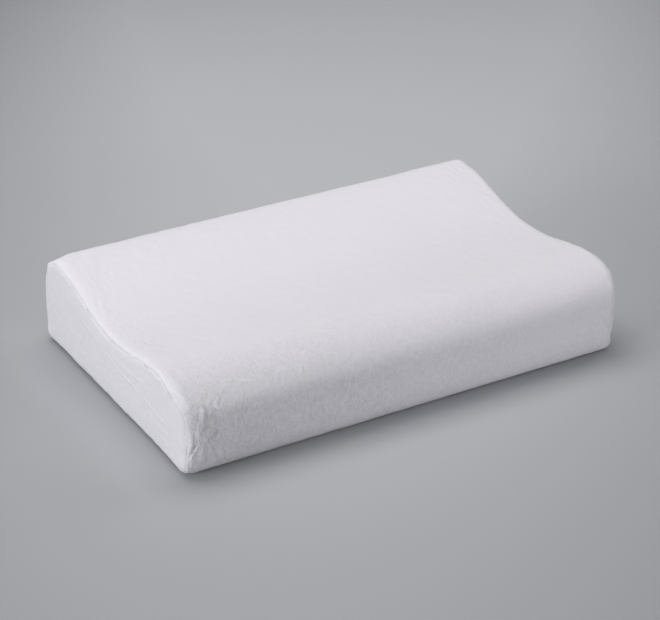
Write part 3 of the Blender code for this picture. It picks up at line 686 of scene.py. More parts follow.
def corner_pulls(p):
    """The four bottom corners, where three seams' worth of cloth gathers to a point, and the back top ones."""
    move = ear(p, (-0.2935, -0.1945, 0.0125), (-0.0022, -0.0020, 0.0012), 0.0100)
    move += ear(p, (-0.2955, -0.1965, 0.0085), (-0.0032, -0.0028, 0.0000), 0.0044)
    move += ear(p, (0.2920, -0.1950, 0.0080), (0.0026, -0.0010, 0.0000), 0.0095)
    # the front right edge stands further back and rounder than the front left one
    near = np.exp(-(((p[..., 0] - 0.2990) / 0.017) ** 2 + ((p[..., 1] + 0.1930) / 0.026) ** 2)) * smooth01((0.112 - p[..., 2]) / 0.045)
    move += near[..., None] * np.array([-0.0052, 0.0006, 0.0])
    move += ear(p, (-0.2925, 0.1930, 0.0100), (-0.0030, 0.0026, 0.0004), 0.0110)
    move += ear(p, (0.2925, 0.1930, 0.0100), (0.0030, 0.0026, 0.0004), 0.0110)
    # the high lobe's left end is drawn down, with a small pointed pucker where the seam turns
    move += ear(p, (-0.2940, 0.1740, 0.1210), (0.0004, -0.0008, -0.0042), 0.0150)
    move += ear(p, (-0.2965, 0.1780, 0.1120), (-0.0018, 0.0014, 0.0002), 0.0060)
    move += ear(p, (-0.2985, 0.1660, 0.1120), (0.0020, 0.0, -0.0004), 0.0034)
    move += ear(p, (0.2955, 0.1560, 0.1220), (0.0012, 0.0010, 0.0012), 0.0080)
    # gathers that radiate from the front left point
    for centre, seed, amount in (((-0.292, -0.193, 0.006), 3, 0.00185), ((0.292, -0.193, 0.006), 7, 0.0011)):
        rel = p - np.array(centre)
        dist = np.linalg.norm(rel, axis=-1)
        spin = np.arctan2(rel[..., 2], rel[..., 1] * np.sign(centre[0]) - rel[..., 0] * 0.9)
        rays = noise(np.stack([spin * 0.02, np.full_like(spin, 0.3), dist * 0.15], -1), 0.0062, 80 + seed)
        rays *= bump(dist - 0.012, 0.012)
        out = rel / (dist[..., None] + 1e-9)
        away = np.array([np.sign(centre[0]), -1.0, 0.1]) / 1.42
        move += (amount * rays)[..., None] * (0.75 * away)
    return move


def displace_panel(side, grid, normal, t, s, on_cap):
    p = grid
    d = broad_waves(p) * 1.1
    if not on_cap:
        d = d + seam_texture(t, s, side, 2 + side, True)
    q = p[..., 1:]
    for points, height, width, trough, lean in PANEL_FOLDS[side]:
        d = d + fold(q, np.array(points) / 1000, height / 1000, width / 1000, trough, lean, 0.18)
    # soft tension lines that follow the panel's length
    y, z = p[..., 1], p[..., 2]
    top = np.interp(y, DENSE[640:1080][::-1, 0], DENSE[640:1080][::-1, 1])
    share = z / top
    lines = noise(np.stack([y * 0.22, share * 0.12, np.full_like(y, 0.4 * side)], -1), 0.0105, 91)
    d = d + 0.00024 * lines * smooth01((0.0 + z) / 0.02)
    return grid + normal * d[..., None] + corner_pulls(grid)


# =====================================================================================
# Cloth simulation: the cover as a slightly too large sheet on the springy foam
# =====================================================================================
def up(values, closed):
    """Twice as fine along the first axis, through smooth midpoints."""
    if closed:
        mid = (-np.roll(values, 1, 0) + 9 * values + 9 * np.roll(values, -1, 0) - np.roll(values, -2, 0)) / 16
        out = np.empty((2 * len(values),) + values.shape[1:])
        out[0::2], out[1::2] = values, mid
        return out
    padded = np.concatenate([2 * values[:1] - values[1:2], values, 2 * values[-1:] - values[-2:-1]])
    mid = (-padded[:-3] + 9 * padded[1:-2] + 9 * padded[2:-1] - padded[3:]) / 16
    out = np.empty((2 * len(values) - 1,) + values.shape[1:])
    out[0::2], out[1::2] = values, mid
    return out


def simulate_cover():
    """Runs Blender's cloth on a coarse copy of the whole cover and returns how far each coarse point moved."""
    points, faces = [], []

    def add(grid):
        start = sum(len(g) for g in points)
        flat = grid.reshape(-1, 3)
        points.append(flat)
        return np.arange(start, start + len(flat)).reshape(grid.shape[:-1])

    def quads(ids, closed):
        a = ids if not closed else np.concatenate([ids, ids[:1]])
        for i in range(a.shape[0] - 1):
            for j in range(a.shape[1] - 1):
                faces.append((a[i, j], a[i + 1, j], a[i + 1, j + 1], a[i, j + 1]))

    wrap_ids = add(WRAP[::2, ::2])
    quads(wrap_ids, True)
    kept = {}
    for side in (-1, 1):
        rings, patch = PANELS[side]
        inner = add(rings[2::2, ::2])  # the first ring is the wrap's own edge, so the two are sewn together
        seam = wrap_ids[:, 0 if side < 0 else -1]
        ids = np.concatenate([seam[None], inner]).T
        quads(ids if side > 0 else ids[:, ::-1], True)
        fill = add(patch[2:-1:2, 2:-1:2])
        n_u, n_v = N_LONG // 2 + 1, N_SIDE // 2 + 1
        edge = inner[-1]
        cap = np.empty((n_u, n_v), int)
        a, b, c = N_SIDE // 2, (N_SIDE + N_LONG) // 2, (2 * N_SIDE + N_LONG) // 2
        loop = np.r_[edge, edge[:1]]
        cap[0], cap[:, -1] = loop[: a + 1], loop[a : b + 1]
        cap[-1], cap[:, 0] = loop[b : c + 1][::-1], loop[c:][::-1]
        cap[1:-1, 1:-1] = fill
        quads(cap if side < 0 else cap[::-1], False)
        kept[side] = (ids, cap)
    everything = np.concatenate(points)
    rng = np.random.default_rng(7)
    start = everything + 0.00015 * rng.standard_normal(everything.shape)

    paint = bpy.data.materials.new("sim_only")
    cloth = mesh_object("cloth_sim", start, faces, paint, smooth=False)
    group = cloth.vertex_groups.new(name="hold")
    slack = cloth.vertex_groups.new(name="slack")
    x, y, z = everything.T
    near_end = smooth01((np.abs(x) - 0.235) / 0.06)
    hold = SIM_HOLD_MIDDLE + (SIM_HOLD_END - SIM_HOLD_MIDDLE) * near_end
    top_flat = smooth01((z - 0.085) / 0.01) * (1 - near_end)
    hold = hold + top_flat * (SIM_HOLD_TOP - SIM_HOLD_MIDDLE)
    hold = np.where(z < 0.003, 1.0, hold)
    hold = np.where((np.abs(y - HALF_WIDTH) < 0.004) & (np.abs(z - BACK_WIDEST_Z) < 0.0125) & (np.abs(x) < 0.247), 1.0, hold)
    ease = 0.15 + 0.85 * near_end
    hold, ease = np.round(np.clip(hold, 0, 1), 3), np.round(np.clip(ease, 0, 1), 3)
    for value in np.unique(hold):
        group.add([int(i) for i in np.flatnonzero(hold == value)], float(value), "REPLACE")
    for value in np.unique(ease):
        slack.add([int(i) for i in np.flatnonzero(ease == value)], float(value), "REPLACE")

    made = cloth.modifiers.new("cloth", "CLOTH")
    c = made.settings
    c.quality = 6
    c.mass = 0.25
    c.tension_stiffness = 18
    c.compression_stiffness = 18
    c.shear_stiffness = 6
    c.bending_stiffness = SIM_BEND
    c.tension_damping = 8
    c.compression_damping = 8
    c.shear_damping = 6
    c.bending_damping = 0.6
    c.air_damping = 2.0
    c.vertex_group_mass = "hold"
    c.pin_stiffness = SIM_PIN
    c.vertex_group_shrink = "slack"
    c.shrink_min = 0.0
    c.shrink_max = -SIM_EASE
    c.use_pressure = True
    c.uniform_pressure_force = SIM_PRESSURE
    c.effector_weights.gravity = 0.0
    made.collision_settings.use_collision = False
    made.collision_settings.use_self_collision = False
    scene.frame_start, scene.frame_end = 1, SIM_FRAMES
    made.point_cache.frame_start, made.point_cache.frame_end = 1, SIM_FRAMES
    for f in range(1, SIM_FRAMES + 1):
        scene.frame_set(f)
    graph = bpy.context.evaluated_depsgraph_get()
    result = cloth.evaluated_get(graph).to_mesh()
    moved = np.empty(len(result.vertices) * 3, np.float32)
    result.vertices.foreach_get("co", moved)
    moved = moved.reshape(-1, 3).astype(float) - everything
    bpy.data.objects.remove(cloth, do_unlink=True)
    bpy.data.materials.remove(paint)
    scene.frame_set(1)
    length = np.linalg.norm(moved, axis=1)
    limit = SIM_CAP * np.tanh(length / SIM_CAP)
    moved *= (limit / np.maximum(length, 1e-9))[:, None]
    print("cloth moved: mean %.2f mm, most %.2f mm" % (1000 * length.mean(), 1000 * length.max()))

    wrap_move = up(moved[wrap_ids], True)
    wrap_move = up(wrap_move.swapaxes(0, 1), False).swapaxes(0, 1)
    panel_move = {}
    for side in (-1, 1):
        ids, cap = kept[side]
        rings = up(up(moved[ids], True).swapaxes(0, 1), False)
        filled = up(up(moved[cap], False).swapaxes(0, 1), False).swapaxes(0, 1)
        panel_move[side] = (rings, filled)
    return wrap_move, panel_move


SIM_FRAMES, SIM_CAP = 24, 0.0050
SIM_HOLD_MIDDLE, SIM_HOLD_END, SIM_HOLD_TOP = 0.12, 0.06, 0.22
SIM_BEND, SIM_PIN, SIM_EASE, SIM_PRESSURE = 0.25, 1.0, 0.030, 0.25

wrap_shape, panel_shape = WRAP.copy(), {side: [g.copy() for g in PANELS[side]] for side in (-1, 1)}
wrap_move, panel_move = simulate_cover()
wrap_shape += wrap_move
for side in (-1, 1):
    panel_shape[side][0] += panel_move[side][0]
    panel_shape[side][1] += panel_move[side][1]

wrap_shape = displace_wrap(wrap_shape, WRAP_N)
panel_normals = {}
for side in (-1, 1):
    rings, patch = PANELS[side]
    ring_n = grid_normals(rings.swapaxes(0, 1), True).swapaxes(0, 1)
    ring_n *= np.where(ring_n[..., :1] * side < 0, -1, 1)
    patch_n = np.zeros_like(patch)
    patch_n[..., 0] = side
    panel_normals[side] = (ring_n, patch_n)
    s = np.broadcast_to(S[None], PANEL_T.shape)
    panel_shape[side][0] = displace_panel(side, panel_shape[side][0], ring_n, PANEL_T, s, False)
    panel_shape[side][1] = displace_panel(side, panel_shape[side][1], patch_n, None, None, True)
    # sewn edge to edge: what the two panels' edges miss each other by is shared out beside the seam
    column = 0 if side < 0 else M - 1
    miss = wrap_shape[:, column] + (rings[0] - WRAP[:, column]) - panel_shape[side][0][0]
    print("seam %+d: edges met to %.2f mm before joining" % (side, 1000 * np.linalg.norm(miss, axis=1).max()))
    panel_shape[side][0] += 0.5 * miss[None] * np.exp(-PANEL_T / 0.0016)[..., None]
    wrap_shape -= 0.5 * miss[:, None] * (np.exp(-COLUMN_T / 0.0030) * (SIDE_OF == side)[None])[..., None]
    # the patch's rim is the last ring
    edge = panel_shape[side][0][-1]
    loop = np.vstack([edge, edge[:1]])
    a, b, c = N_SIDE, N_SIDE + N_LONG, 2 * N_SIDE + N_LONG
    patch = panel_shape[side][1]
    patch[0], patch[:, -1] = loop[: a + 1], loop[a : b + 1]
    patch[-1], patch[:, 0] = loop[b : c + 1][::-1], loop[c:][::-1]


def lie_down(g):
    """Nothing goes through the floor; what would is pressed flat on it."""
    z = g[..., 2]
    g[..., 2] = np.where(z < 0.0006, 0.0006 * np.exp(np.clip((z - 0.0006) / 0.002, -30, 0)), z)
    return g


lie_down(wrap_shape)
for side in (-1, 1):
    for g in panel_shape[side]:
        lie_down(g)


# =====================================================================================
# The cover's three panels, each a closed piece of cloth with its own thickness
# =====================================================================================
def build_wrap():
    outer = wrap_shape
    normal = grid_normals(outer, True)
    inner = (outer - normal * COVER_THICK)[::2, ::2]
    n2, m2 = inner.shape[:2]
    ids = np.arange(N * M).reshape(N, M)
    ids2 = N * M + np.arange(n2 * m2).reshape(n2, m2)
    faces = []
    slot_rows = [k for k in range(N) if abs(TO_ZIP[k]) < SLOT_HALF - 1e-5]
    first, last = min(slot_rows) - 1, max(slot_rows) + 1  # stations on the slot's edges

    def in_slot(i, j):
        return first <= i < last and SLOT_FROM <= j < SLOT_TO

    for i in range(N):
        for j in range(M - 1):
            if not in_slot(i, j):
                k = (i + 1) % N
                faces.append((ids[i, j], ids[i, j + 1], ids[k, j + 1], ids[k, j]))
    for i in range(n2):
        for j in range(m2 - 1):
            if not in_slot(2 * i, 2 * j):
                k = (i + 1) % n2
                faces.append((ids2[i, j], ids2[k, j], ids2[k, j + 1], ids2[i, j + 1]))

    def close(a, m, b, A, B):
        faces.extend([(a, A, m), (m, B, b), (m, A, B)])

    for i in range(n2):
        k, i0, i1, i2 = (i + 1) % n2, 2 * i, (2 * i + 1) % N, (2 * i + 2) % N
        close(ids[i0, 0], ids[i1, 0], ids[i2, 0], ids2[i, 0], ids2[k, 0])
        close(ids[i2, -1], ids[i1, -1], ids[i0, -1], ids2[k, -1], ids2[i, -1])
    for j in range(SLOT_FROM // 2, SLOT_TO // 2):
        a, m, b = 2 * j, 2 * j + 1, 2 * j + 2
        close(ids[first, b], ids[first, m], ids[first, a], ids2[first // 2, j + 1], ids2[first // 2, j])
        close(ids[last, a], ids[last, m], ids[last, b], ids2[last // 2, j], ids2[last // 2, j + 1])
    for i in range(first // 2, last // 2):
        a, m, b = 2 * i, 2 * i + 1, 2 * i + 2
        close(ids[a, SLOT_FROM], ids[m, SLOT_FROM], ids[b, SLOT_FROM], ids2[i, SLOT_FROM // 2], ids2[i + 1, SLOT_FROM // 2])
        close(ids[b, SLOT_TO], ids[m, SLOT_TO], ids[a, SLOT_TO], ids2[i + 1, SLOT_TO // 2], ids2[i, SLOT_TO // 2])
    used = np.zeros(N * M + n2 * m2, bool)
    for f in faces:
        used[list(f)] = True
    new = np.cumsum(used) - 1
    points = np.vstack([outer.reshape(-1, 3), inner.reshape(-1, 3)])[used]
    return recalculated(mesh_object("cover_wrap_fabric", points, [[new[i] for i in f] for f in faces], VELOUR))


def build_panel(side, name):
    rings, patch = panel_shape[side]
    n_u, n_v = patch.shape[:2]
    k_rings = len(rings)

    def skin(rings, patch, start):
        ring_ids = start + np.arange(k_rings * N).reshape(k_rings, N)
        fill_ids = start + k_rings * N + np.arange((n_u - 2) * (n_v - 2)).reshape(n_u - 2, n_v - 2)
        cap = np.empty((n_u, n_v), int)
        loop = np.r_[ring_ids[-1], ring_ids[-1][:1]]
        a, b, c = N_SIDE, N_SIDE + N_LONG, 2 * N_SIDE + N_LONG
        cap[0], cap[:, -1] = loop[: a + 1], loop[a : b + 1]
        cap[-1], cap[:, 0] = loop[b : c + 1][::-1], loop[c:][::-1]
        cap[1:-1, 1:-1] = fill_ids
        faces = []
        for r in range(k_rings - 1):
            for i in range(N):
                k = (i + 1) % N
                faces.append((ring_ids[r, i], ring_ids[r, k], ring_ids[r + 1, k], ring_ids[r + 1, i]))
        for i in range(n_u - 1):
            for j in range(n_v - 1):
                faces.append((cap[i, j], cap[i, j + 1], cap[i + 1, j + 1], cap[i + 1, j]))
        points = np.vstack([rings.reshape(-1, 3), patch[1:-1, 1:-1].reshape(-1, 3)])
        return points, faces, ring_ids

    outer, faces, ring_ids = skin(rings, patch, 0)
    mesh = bpy.data.meshes.new("normals_only")
    mesh.from_pydata([tuple(p) for p in outer], [], faces)
    normal = np.array([v.normal[:] for v in mesh.vertices])
    bpy.data.meshes.remove(mesh)
    if np.mean(normal[:, 0]) * side < 0:
        normal = -normal
        flip = True
    else:
        flip = False
    inner_points = outer - normal * COVER_THICK
    back_faces = [tuple(i + len(outer) for i in reversed(f)) for f in faces]
    rim = []
    for i in range(N):
        k = (i + 1) % N
        rim.append((ring_ids[0, k], ring_ids[0, i], ring_ids[0, i] + len(outer), ring_ids[0, k] + len(outer)))
    everything = list(faces) + back_faces + rim
    if flip:
        everything = [tuple(reversed(f)) for f in everything]
    return recalculated(mesh_object(name, np.vstack([outer, inner_points]), everything, VELOUR))


wrap_piece = build_wrap()
left_piece = build_panel(-1, "cover_left_end_fabric")
right_piece = build_panel(1, "cover_right_end_fabric")
for piece, node in ((wrap_piece, "cover_wrap"), (left_piece, "cover_left_end"), (right_piece, "cover_right_end")):
    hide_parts(node)
    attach(piece, "pillow")


# =====================================================================================
# Liner and core, pressed in where the cover is
# =====================================================================================
dip = ((wrap_shape - WRAP) * WRAP_N).sum(-1)
DIP = np.minimum(dip, 0.0)
for _ in range(3):
    DIP = np.minimum(DIP, (np.roll(DIP, 1, 0) + np.roll(DIP, -1, 0)) / 2)
DIP = DIP[::2, ::2]
panel_dip = {}
for side in (-1, 1):
    ring_n, patch_n = panel_normals[side]
    ring_d = np.minimum(((panel_shape[side][0] - PANELS[side][0]) * ring_n).sum(-1), 0)
    patch_d = np.minimum(((panel_shape[side][1] - PANELS[side][1]) * patch_n).sum(-1), 0)
    panel_dip[side] = (ring_d, patch_d)


def inner_layer(depth, extra, side_angle_rows):
    """Wrap-like grid of an inner layer at that depth, at half the cover's fineness, following its dips."""
    columns = []
    for k, t in enumerate(ROWS):
        columns.append(from_seam(-1, t * ((ROUND + extra) * SEAM_ANGLE + LENGTH / 2 - ROUND - extra - ZIP_LENGTH / 2) / (REST + NEAR[-1]), depth, extra, True))
    for x in X_MIDDLE:
        d = depth + RELIEF
        columns.append(np.c_[np.full(N, x), POINT - NORMAL * d[:, None]])
    for k, t in list(enumerate(ROWS))[::-1]:
        columns.append(from_seam(1, t * ((ROUND + extra) * SEAM_ANGLE + LENGTH / 2 - ROUND - extra - ZIP_LENGTH / 2) / (REST + NEAR[-1]), depth, extra, True))
    grid = np.stack(columns, 1)[::2, ::2]
    normal = WRAP_N[::2, ::2]
    return grid + normal * DIP[..., None]


def layer_end(side, depth, extra):
    rings = np.stack([on_rounding(side, a, depth, extra, True) for a in PANEL_ANGLES])
    ring_n, _ = panel_normals[side]
    ring_d, patch_d = panel_dip[side]
    rings = rings + ring_n * ring_d[..., None]
    edge = rings[-1]
    a, b, c = N_SIDE, N_SIDE + N_LONG, 2 * N_SIDE + N_LONG
    loop = np.vstack([edge, edge[:1]])
    back, top, front, base = loop[: a + 1], loop[a : b + 1], loop[b : c + 1][::-1], loop[c:][::-1]
    u = np.linspace(0, 1, N_LONG + 1)[:, None, None]
    v = np.linspace(0, 1, N_SIDE + 1)[None, :, None]
    patch = (1 - v) * base[:, None] + v * top[:, None] + (1 - u) * back[None] + u * front[None]
    patch -= (1 - u) * (1 - v) * base[0] + u * (1 - v) * base[-1] + (1 - u) * v * top[0] + u * v * top[-1]
    patch[1:-1, 1:-1, 0] = side * (LENGTH / 2 - depth) + side * patch_d[1:-1, 1:-1]
    return rings[::2, ::2], patch[::2, ::2]


def closed_skin(wrap, ends):
    """Points and quads of a closed body from a wrap grid and two ends."""
    n, m = wrap.shape[:2]
    points = [wrap.reshape(-1, 3)]
    wrap_ids = np.arange(n * m).reshape(n, m)
    faces = []
    for i in range(n):
        k = (i + 1) % n
        for j in range(m - 1):
            faces.append((wrap_ids[i, j], wrap_ids[i, j + 1], wrap_ids[k, j + 1], wrap_ids[k, j]))
    count = n * m
    for side in (-1, 1):
        rings, patch = ends[side]
        loop = wrap_ids[:, 0 if side < 0 else -1]
        ring_ids = [loop]
        for r in rings[1:]:
            points.append(r)
            ring_ids.append(np.arange(count, count + n))
            count += n
        n_u, n_v = patch.shape[:2]
        points.append(patch[1:-1, 1:-1].reshape(-1, 3))
        fill = np.arange(count, count + (n_u - 2) * (n_v - 2)).reshape(n_u - 2, n_v - 2)
        count += fill.size
        cap = np.empty((n_u, n_v), int)
        last = np.r_[ring_ids[-1], ring_ids[-1][:1]]
        a, b, c = n_v - 1, n_v + n_u - 2, 2 * n_v + n_u - 3
        cap[0], cap[:, -1] = last[: a + 1], last[a : b + 1]
        cap[-1], cap[:, 0] = last[b : c + 1][::-1], last[c:][::-1]
        cap[1:-1, 1:-1] = fill
        for r in range(len(ring_ids) - 1):
            for i in range(n):
                k = (i + 1) % n
                quad = (ring_ids[r][i], ring_ids[r][k], ring_ids[r + 1][k], ring_ids[r + 1][i])
                faces.append(quad if side > 0 else quad[::-1])
        for i in range(n_u - 1):
            for j in range(n_v - 1):
                quad = (cap[i, j], cap[i, j + 1], cap[i + 1, j + 1], cap[i + 1, j])
                faces.append(quad if side > 0 else quad[::-1])
    return np.vstack(points), faces


core_points, core_faces = closed_skin(
    inner_layer(CORE_DEPTH + 0.0003, CORE_EXTRA_ROUND, None), {side: layer_end(side, CORE_DEPTH + 0.0003, CORE_EXTRA_ROUND) for side in (-1, 1)}
)
core_piece = recalculated(mesh_object("foam_core_moulded", core_points, core_faces, FOAM))
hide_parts("foam_core")
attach(core_piece, "pillow")


def two_skins(name, grids, paint, closed):
    """A thin closed sheet between an outer and an inner grid of points."""
    outer, inner = grids
    n, m = outer.shape[:2]
    a = np.arange(n * m).reshape(n, m)
    b = a + n * m
    faces = []
    span = n if closed else n - 1
    for i in range(span):
        k = (i + 1) % n
        for j in range(m - 1):
            faces.append((a[i, j], a[i, j + 1], a[k, j + 1], a[k, j]))
            faces.append((b[i, j], b[k, j], b[k, j + 1], b[i, j + 1]))
        faces.append((a[i, 0], a[k, 0], b[k, 0], b[i, 0]))
        faces.append((a[k, -1], a[i, -1], b[i, -1], b[k, -1]))
    if not closed:
        for j in range(m - 1):
            faces.append((a[0, j + 1], a[0, j], b[0, j], b[0, j + 1]))
            faces.append((a[-1, j], a[-1, j + 1], b[-1, j + 1], b[-1, j]))
    made = mesh_object(name, np.vstack([outer.reshape(-1, 3), inner.reshape(-1, 3)]), faces, paint)
    return recalculated(made)


liner_out, liner_in = (inner_layer(LINER_DEPTH + d, CORE_EXTRA_ROUND, None) for d in (0.0, LINER_THICK))
liner_piece = two_skins("liner_wrap_jersey", (liner_out, liner_in), KNIT, True)
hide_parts("liner_wrap")


def cap_and_rings(rings, patch):
    """Points and faces of one end skin from its rings and patch."""
    n = rings.shape[1]
    points = [rings.reshape(-1, 3), patch[1:-1, 1:-1].reshape(-1, 3)]
    ids = np.arange(rings.shape[0] * n).reshape(rings.shape[0], n)
    n_u, n_v = patch.shape[:2]
    fill = ids.size + np.arange((n_u - 2) * (n_v - 2)).reshape(n_u - 2, n_v - 2)
    cap = np.empty((n_u, n_v), int)
    last = np.r_[ids[-1], ids[-1][:1]]
    a, b, c = n_v - 1, n_v + n_u - 2, 2 * n_v + n_u - 3
    cap[0], cap[:, -1] = last[: a + 1], last[a : b + 1]
    cap[-1], cap[:, 0] = last[b : c + 1][::-1], last[c:][::-1]
    cap[1:-1, 1:-1] = fill
    faces = []
    for r in range(len(ids) - 1):
        for i in range(n):
            k = (i + 1) % n
            faces.append((ids[r, i], ids[r, k], ids[r + 1, k], ids[r + 1, i]))
    for i in range(n_u - 1):
        for j in range(n_v - 1):
            faces.append((cap[i, j], cap[i, j + 1], cap[i + 1, j + 1], cap[i + 1, j]))
    return np.vstack(points), faces, ids[0]


liner_ends = []
for side, name in ((-1, "liner_left_end"), (1, "liner_right_end")):
    shrink = np.array([1.0, 1.0, 1.0])
    skins = []
    for d in (0.0, LINER_THICK):
        rings, patch = layer_end(side, LINER_DEPTH + d, CORE_EXTRA_ROUND)
        rings = rings.copy()
        rings[0] = rings[0] + (rings[1] - rings[0]) * 0.25
        skins.append(cap_and_rings(rings, patch))
    (po, fo, rim), (pi_, fi, _) = skins
    count = len(po)
    faces = list(fo) + [tuple(i + count for i in reversed(f)) for f in fi]
    for i in range(len(rim)):
        k = (i + 1) % len(rim)
        faces.append((rim[k], rim[i], rim[i] + count, rim[k] + count))
    piece = recalculated(mesh_object(name + "_jersey", np.vstack([po, pi_]), faces, KNIT))
    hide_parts(name)
    liner_ends.append(piece)
for piece in [liner_piece, *liner_ends]:
    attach(piece, "pillow")


# =====================================================================================
# Threads
# =====================================================================================
def sweep(paths, radius, sides=6, closed=False, flatten=1.0):
    """Tubes along polylines, as one mesh's points and faces."""
    points, faces = [], []
    start = 0
    for path in paths:
        path = np.asarray(path, float)
        n = len(path)
        if closed:
            tangent = np.roll(path, -1, 0) - np.roll(path, 1, 0)
        else:
            tangent = np.gradient(path, axis=0)
        tangent /= np.linalg.norm(tangent, axis=1)[:, None] + 1e-12
        ref = np.array([0.0, 0.0, 1.0]) if abs(tangent[0][2]) < 0.9 else np.array([0.0, 1.0, 0.0])
        frame_u = []
        u = ref - tangent[0] * (ref @ tangent[0])
        u /= np.linalg.norm(u)
        for k in range(n):
            u = u - tangent[k] * (u @ tangent[k])
            u /= np.linalg.norm(u) + 1e-12
            frame_u.append(u)
        frame_u = np.array(frame_u)
        frame_v = np.cross(tangent, frame_u)
        angle = np.linspace(0, 2 * pi, sides, endpoint=False)
        r = np.broadcast_to(radius, (n,))
        ring = path[:, None] + r[:, None, None] * (np.cos(angle)[None, :, None] * frame_u[:, None] + flatten * np.sin(angle)[None, :, None] * frame_v[:, None])
        points.append(ring.reshape(-1, 3))
        ids = start + np.arange(n * sides).reshape(n, sides)
        last = n if closed else n - 1
        for k in range(last):
            a, b = ids[k], ids[(k + 1) % n]
            for i in range(sides):
                j = (i + 1) % sides
                faces.append((a[i], a[j], b[j], b[i]))
        if not closed:
            faces.append(tuple(ids[0][::-1]))
            faces.append(tuple(ids[-1]))
        start += n * sides
    return np.vstack(points), faces


def tube_piece(name, paths, radius, paint, node, record_slot, body="pillow", **how):
    points, faces = sweep(paths, radius, **how)
    piece = mesh_object(name, points, faces, paint)
    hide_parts(node)
    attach(piece, body)
    return piece


for side, cover_node, liner_node in ((-1, "left_end_seam_thread", "liner_left_seam_thread"), (1, "right_end_seam_thread", "liner_right_seam_thread")):
    column = 0 if side < 0 else M - 1
    n_here = grid_normals(wrap_shape, True)[:, column]
    path = wrap_shape[:, column] - n_here * (COVER_THICK + 0.00075)
    tube_piece(cover_node + "_twist", [path[::2]], 0.0003, THREAD, cover_node, "sewing_thread", closed=True, sides=6)
    liner_line = liner_out[:, 0 if side < 0 else -1]
    out = np.c_[np.full(len(liner_line), side * 0.7), NORMAL[::2] * 0.7]
    tube_piece(liner_node + "_twist", [liner_line + out * 0.0007], 0.0003, THREAD, liner_node, "sewing_thread", closed=True, sides=6)

zip_station = int(np.argmin(np.abs(TO_ZIP)))
for sign, node in ((-1, "back_seam_thread_left"), (1, "back_seam_thread_right")):
    columns = [j for j in range(M) if 0.246 <= sign * WRAP[zip_station, j, 0] <= 0.283]
    n_here = grid_normals(wrap_shape, True)[zip_station, columns]
    path = wrap_shape[zip_station, columns] - n_here * (COVER_THICK + 0.00075)
    tube_piece(node + "_twist", [path], 0.0003, THREAD, node, "sewing_thread")


def cloth_at(x, s):
    """(point, normal) of the finished cover at a place along the length and round the section, by the back wall."""
    near = np.abs(S - s)
    i = int(np.argsort(near)[0])
    other = i + 1 if S[i] <= s else i - 1
    lo, hi = (i, other) if S[i] <= S[other] else (other, i)
    w = (s - S[lo]) / (S[hi] - S[lo])
    xs = wrap_shape[lo, :, 0]
    p = [np.interp(x, wrap_shape[r, :, 0], wrap_shape[r, :, k]) for r in (lo, hi) for k in (1, 2)]
    y, z = p[0] * (1 - w) + p[2] * w, p[1] * (1 - w) + p[3] * w
    n = normal_at(np.array(s))
    return np.array([x, y, z]), np.array([0.0, n[0], n[1]])


# ---- lockstitch rows along the zip: every stitch its own short length of thread ----
for name, node, sign in (("zip_stitches_upper", "zip_stitch_upper", 1), ("zip_stitches_lower", "zip_stitch_lower", -1)):
    paths = []
    pitch, run = 0.0031, 0.00245
    count = int((ZIP_LENGTH + 0.0008) / pitch)
    for k in range(count):
        x0 = -0.0004 - ZIP_LENGTH / 2 + k * pitch + 0.0004
        line = []
        for f in (0.0, 0.12, 0.3, 0.5, 0.7, 0.88, 1.0):
            p, n = cloth_at(x0 + f * run, ZIP_S + sign * (STITCH_ROW + 0.00008 * sin(7.3 * k)))
            lift = 0.00034 * sin(pi * min(max(f, 0.0), 1.0)) ** 0.6 - 0.00022
            line.append(p + n * lift)
        paths.append(line)
    tube_piece(name, paths, 0.00023, THREAD, node, "sewing_thread", sides=6)

# ---- bar tacks: a dense zigzag over the end of the zip ----
for name, node, x in (("zip_bartack_zigzag_left", "zip_bartack_left", -0.2425), ("zip_bartack_zigzag_right", "zip_bartack_right", 0.2425)):
    line, count = [], 44
    for k in range(count + 1):
        s = ZIP_S - 0.0086 + 0.0172 * k / count
        for f in (-1.0, -0.55, 0.0, 0.55, 1.0) if k % 2 == 0 else (1.0, 0.55, 0.0, -0.55, -1.0):
            p, n = cloth_at(x + f * 0.00092, s + 0.00018 * f * (1 if k % 2 else -1))
            line.append(p + n * (0.00045 - 0.00030 * abs(f) ** 3))
    tube_piece(name, [line], 0.00021, THREAD, node, "sewing_thread", sides=6)

# =====================================================================================
# Zip
# =====================================================================================
WALL_Y = float(point_at(np.array(ZIP_S))[0])


def wall_strip(name, s_from, s_to, x_from, x_to, depth, thick, wide, long, sway):
    """A strip of cloth that follows the back wall. sway adds an uneven lift."""
    s = np.linspace(s_from, s_to, wide + 1)
    x = np.linspace(x_from, x_to, long + 1)
    p, n = point_at(s), normal_at(s)
    grid = np.empty((wide + 1, long + 1, 3))
    lift = sway(s[:, None], x[None, :])
    grid[..., 0] = x[None]
    grid[..., 1:] = p[:, None] - n[:, None] * (depth - lift)[..., None]
    nn = np.concatenate([np.zeros((wide + 1, 1)), n], 1)[:, None]
    return grid, grid - nn * thick


for name, node, sign in (("zip_tape_woven_upper", "zip_tape_upper", 1), ("zip_tape_woven_lower", "zip_tape_lower", -1)):
    s0, s1 = sorted((ZIP_S + sign * TAPE_INNER, ZIP_S + sign * TAPE_OUTER))
    grids = wall_strip(name, s0, s1, -ZIP_LENGTH / 2 - 0.005, ZIP_LENGTH / 2 + 0.005, TAPE_DEPTH, TAPE_THICK - 0.0001, 14, 240,
                       lambda s, x: -0.00006 + 0.00005 * np.sin(x * 260 + s * 400))
    piece = two_skins(name, grids, TAPE, False)
    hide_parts(node)
    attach(piece, "pillow")

